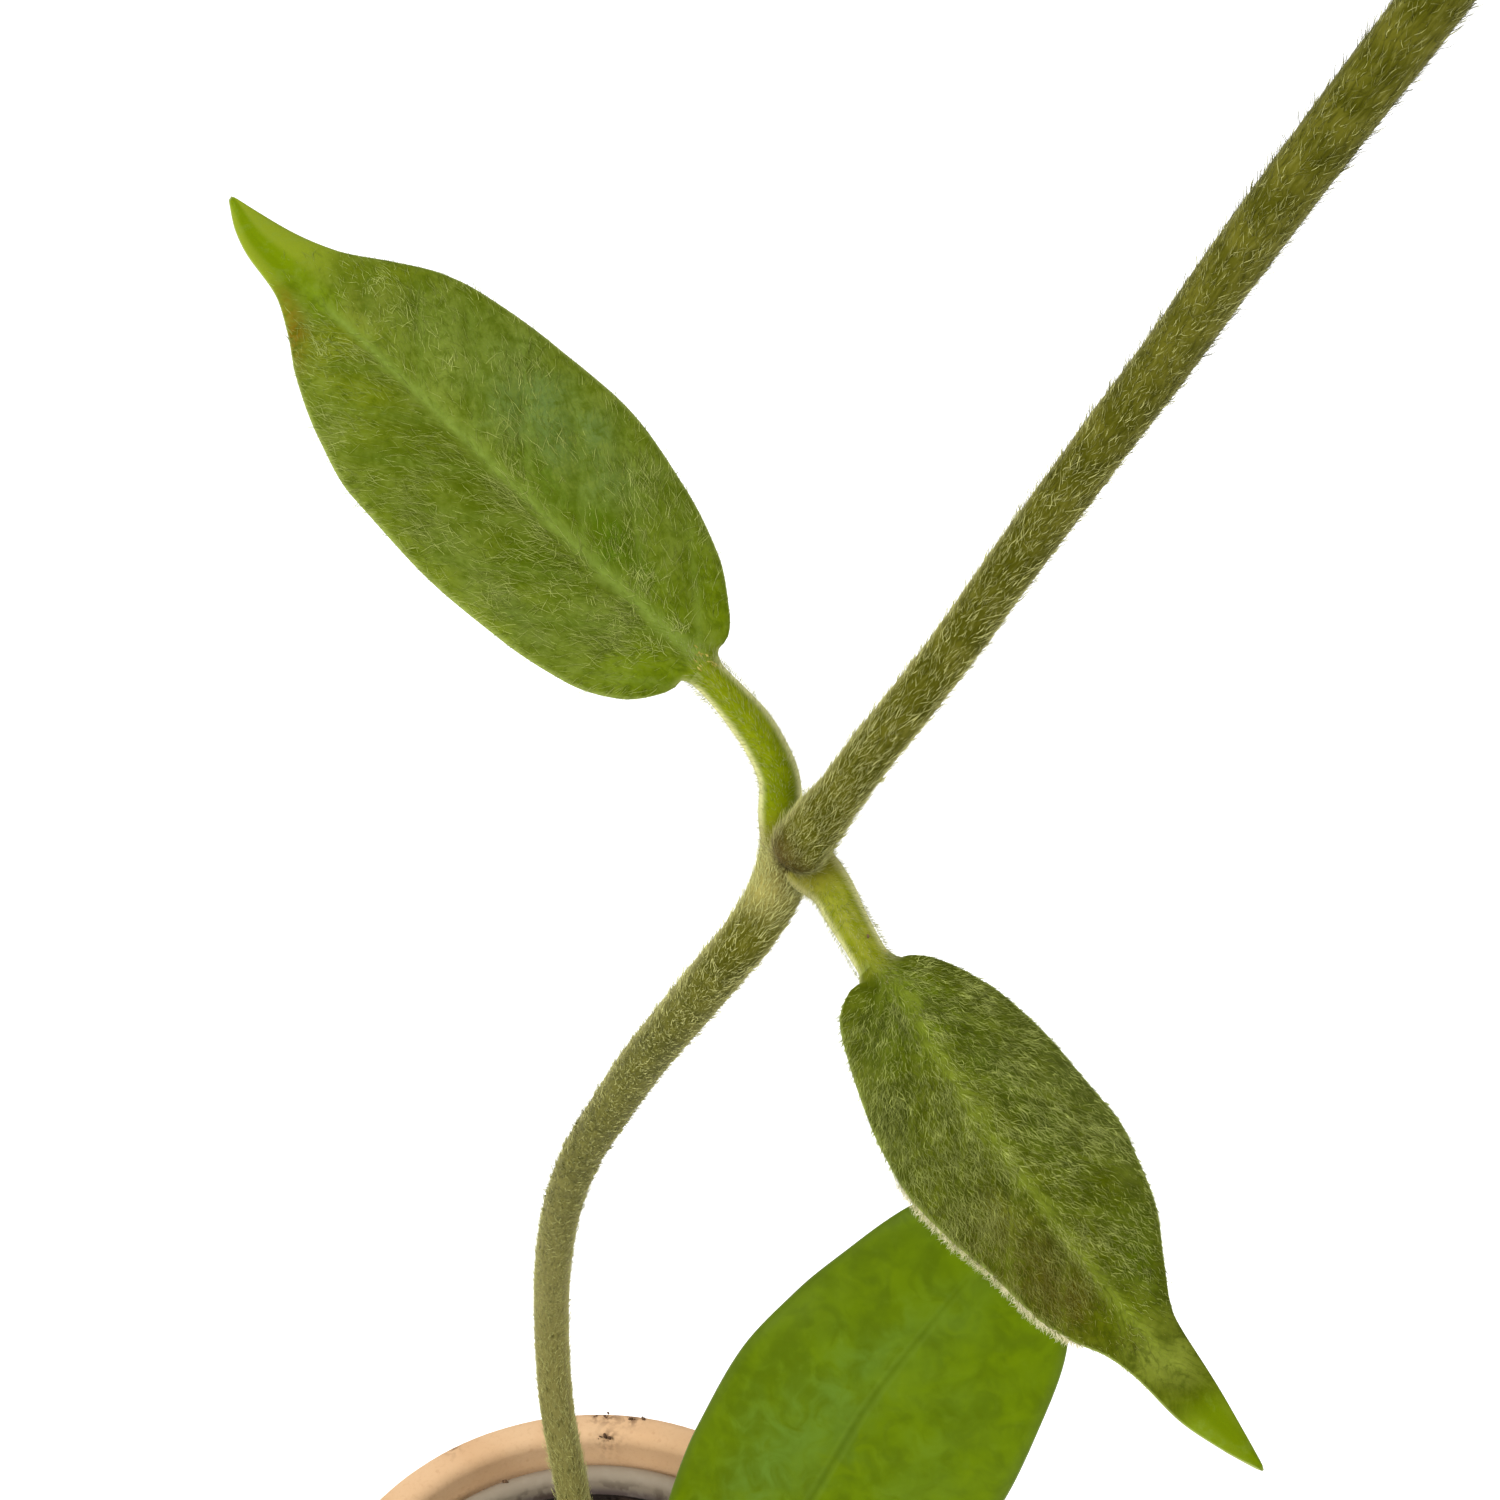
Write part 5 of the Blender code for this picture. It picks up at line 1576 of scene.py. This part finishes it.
def spilt_crumbs(finish):
    """Crumbs of soil left on the pot's rim, on the liner's lip and on one petiole."""
    draw = random.Random(SPILL_SEED)
    crumbs = []
    for (x, y, z), reach, count in SPILLS:
        for _ in range(count):
            size = draw.uniform(0.2, 0.6)
            right, back = draw.gauss(0, 0.4) * reach, draw.gauss(0, 0.14) * reach
            place = tumbled(draw, x + right, y + back, z + 0.1 * size)
            sizes = [size * draw.uniform(0.8, 1.6), size, size * draw.uniform(0.5, 0.8)]
            crumbs.append(lump(draw, place, sizes, 2))
    return gathered("spilt_crumbs", crumbs, finish)


def nursery_liner(finish):
    lip = LINER_LIP / 2
    lip_centre = (pot_inner_radius(LINER_TOP) - GAP - lip, LINER_TOP - lip)
    wall_top = LINER_TOP - LINER_LIP
    inner_top = liner_inner_radius(wall_top)
    bottom = POT_FLOOR + GAP
    floor = bottom + LINER_FLOOR
    profile = [(0, floor), (liner_inner_radius(floor) - 1, floor), (liner_inner_radius(floor), floor + 1)]
    profile += [(inner_top, wall_top)]
    profile += arc(lip_centre, lip, 180, -60, 20)
    profile += [(inner_top + LINER_WALL, wall_top), (liner_inner_radius(bottom) + LINER_WALL, bottom + 1)]
    profile += [(liner_inner_radius(bottom) + LINER_WALL - 1, bottom), (0, bottom)]
    return piece(turned("nursery_liner_body", profile, finish, LINER_SIDES), "liner", "nursery_liner")


def soil_height(x, y):
    """Height of the soil's bumpy surface."""
    coarse = noise.noise(Vector((x * 0.16, y * 0.16, 3.1)))
    fine = noise.noise(Vector((x * 0.5, y * 0.5, 7.7)))
    return SOIL_TOP + SOIL_BUMP * (coarse + 0.6 * fine)


def crumbly_height(x, y):
    """The soil's surface with its finer lumps."""
    lumps = abs(noise.noise(Vector((x * 0.9, y * 0.9, 1.3))))
    lumps += 0.6 * abs(noise.noise(Vector((x * 2.1, y * 2.1, 5.9))))
    return soil_height(x, y) + 0.9 * lumps - 0.25


def tumbled(draw, x, y, z):
    """A place with a turn of its own."""
    return Matrix.Translation((x, y, z)) @ Euler([draw.uniform(0, 3) for _ in range(3)]).to_matrix().to_4x4()


def lump(draw, place, sizes, detail, square=False):
    """The points and faces of one rough lump: a ball or a block with its corners pulled about."""
    shape = bmesh.new()
    if square:
        bmesh.ops.create_cube(shape, size=1)
        bmesh.ops.subdivide_edges(shape, edges=shape.edges, cuts=detail, use_grid_fill=True)
    else:
        bmesh.ops.create_icosphere(shape, subdivisions=detail, radius=0.5)
    shift = Vector([draw.uniform(0, 99) for _ in range(3)])
    for corner in shape.verts:
        corner.co *= 1 + 0.5 * noise.noise(corner.co * 2.2 + shift)
    bmesh.ops.transform(shape, matrix=place @ Matrix.Diagonal((*sizes, 1)), verts=shape.verts)
    points = [tuple(corner.co) for corner in shape.verts]
    faces = [tuple(corner.index for corner in face.verts) for face in shape.faces]
    shape.free()
    return points, faces


def gathered(name, lumps, finish):
    """Many lumps as one object."""
    points, faces = [], []
    for some_points, some_faces in lumps:
        faces += [tuple(len(points) + corner for corner in face) for face in some_faces]
        points += some_points
    return new_object(name, points, faces, finish)


def bark_chips(finish):
    """Flat chips of bark, half sunk in the soil, in the places that the solid has them."""
    draw = random.Random(CHIP_SEED)
    chips = []
    for _ in range(CHIP_COUNT):
        way = draw.uniform(0, 2 * math.pi)
        reach = draw.uniform(CHIP_CLEAR_OF_STEM, liner_inner_radius(SOIL_TOP) - CHIP_CLEAR_OF_WALL)
        x, y = reach * math.cos(way), reach * math.sin(way)
        sides = [draw.uniform(*sizes) for sizes in (CHIP_LENGTHS, CHIP_WIDTHS, CHIP_THICKNESSES)]
        tilts = [draw.uniform(-CHIP_TILT, CHIP_TILT) for _ in range(2)]
        turn = Euler((*tilts, draw.uniform(0, math.pi)))
        for _ in range(CHIP_SHAPE_DRAWS):
            draw.random()
        place = Matrix.Translation((x, y, soil_height(x, y) + 0.2)) @ turn.to_matrix().to_4x4()
        own_draw = random.Random(round(way * 1e6))
        chips.append(lump(own_draw, place, [side * 0.92 for side in sides], 5, square=True))
    return gathered("soil_bark", chips, finish)


def soil_crumbs(finish):
    """Loose crumbs of every size over the soil."""
    draw = random.Random(CRUMB_SEED)
    crumbs = []
    edge = liner_inner_radius(SOIL_TOP) - 1.2
    for _ in range(SOIL_CRUMBS):
        way, reach = draw.uniform(0, 2 * math.pi), edge * math.sqrt(draw.uniform(0.004, 1))
        x, y = reach * math.cos(way), reach * math.sin(way)
        size = 0.35 + 1.5 * draw.random() ** 3
        place = tumbled(draw, x, y, crumbly_height(x, y) + 0.15 * size)
        sizes = [size * draw.uniform(0.7, 1.3) for _ in range(3)]
        crumbs.append(lump(draw, place, sizes, 2 if size > 0.9 else 1))
    return gathered("soil_crumbs", crumbs, finish)


def soil(finish):
    """The plug of potting mix that fills the liner, with a lumpy top."""
    bottom = POT_FLOOR + GAP + LINER_FLOOR + GAP
    top_radius = liner_inner_radius(SOIL_TOP) - GAP
    edge = SOIL_TOP - 0.3
    rings = []
    for number in range(1, SOIL_RINGS + 1):
        share = min(1, (SOIL_RINGS - number) / 3)
        flat = ring(top_radius * number / SOIL_RINGS, 0, SOIL_SECTORS)
        rings.append([(x, y, edge + share * (crumbly_height(x, y) - edge)) for x, y, _ in flat])
    rings.append(ring(liner_inner_radius(bottom + 1) - GAP - 1, bottom, SOIL_SECTORS))
    poles = [(0, 0, crumbly_height(0, 0)), (0, 0, bottom)]
    return piece(closed_skin("soil_plug", np.array(rings), poles, finish, inside_out=True), "soil", "soil")


def studio():
    """The pale floor, the soft light and the camera."""
    scene = bpy.context.scene
    scene.view_settings.view_transform = "Standard"
    world = scene.world or bpy.data.worlds.new("studio")
    scene.world = world
    world.use_nodes = True
    background = world.node_tree.nodes["Background"]
    background.inputs["Color"].default_value = (1, 1, 1, 1)
    background.inputs["Strength"].default_value = SKY_STRENGTH
    floor_finish, floor_place = new_finish("white floor")
    colour = floor_place.cloud(30.0).blend((0.9, 0.9, 0.9, 1), (0.93, 0.93, 0.93, 1))
    glow = {"Emission Color": (1, 1, 1, 1), "Emission Strength": FLOOR_GLOW}
    coat_with(floor_finish, colour, 0.9, 0.0, glow)
    half = FLOOR_SIZE / 2
    floor = new_object("floor", [(-half, -half, 0), (half, -half, 0), (half, half, 0), (-half, half, 0)],
                       [(0, 1, 2, 3)], floor_finish)
    for name, place, size, power in LAMPS:
        lamp = bpy.data.lights.new(name, "AREA")
        lamp.shape = "DISK"
        lamp.size = size * METRES
        lamp.energy = power
        obj = bpy.data.objects.new(name, lamp)
        obj.location = Vector(place) * METRES
        obj.rotation_euler = (Vector(LAMPS_FACE) - Vector(place)).to_track_quat("-Z", "Y").to_euler()
        scene.collection.objects.link(obj)
    lens = bpy.data.cameras.new("camera")
    lens.sensor_width = SENSOR_WIDTH
    lens.lens = FOCAL_LENGTH
    lens.clip_start = 0.005
    eye = bpy.data.objects.new("camera", lens)
    eye.location = Vector(EYE_PLACE) * METRES
    eye.rotation_euler = (math.radians(90 - EYE_PITCH), 0, 0)
    scene.collection.objects.link(eye)
    scene.camera = eye


def main():
    studio()
    left = (
        young_leaf_finish("left young leaf", LEFT_SHADES),
        hair_finish("left leaf hair", (96, 112, 8), (198, 208, 116)),
    )
    right = (
        young_leaf_finish("right young leaf", RIGHT_SHADES),
        hair_finish("right leaf hair", (70, 80, 0), (202, 211, 116), warm=(104, 88, 10)),
    )
    waxy = (mature_leaf_finish(), None)
    stalk_hair = hair_finish("stalk hair", (140, 150, 30), (240, 236, 180), clearness=0.4)
    rim_hair = hair_finish("cream hair", (190, 184, 116), (242, 234, 196))
    gland = gland_finish()
    for number, (leaf, looks) in enumerate(zip(LEAVES, (left, right, waxy, waxy, left, right))):
        grow_leaf(leaf, *looks, stalk_hair, rim_hair, gland, seed=LEAF_SEED + number)
    grow_stem(stem_finish(), hair_finish("stem hair", (76, 77, 4), (220, 218, 140), warm=(104, 86, 46)))
    clay_pot(clay_finish())
    nursery_liner(plastic_finish())
    mix = soil_finish("potting mix", (34, 24, 18), (62, 46, 34))
    soil(mix)
    piece(soil_crumbs(mix), "soil")
    piece(bark_chips(soil_finish("bark", (52, 36, 26), (92, 66, 46))), "soil")
    piece(spilt_crumbs(soil_finish("spilt soil", (92, 68, 48), (132, 102, 76))), "soil")


main()
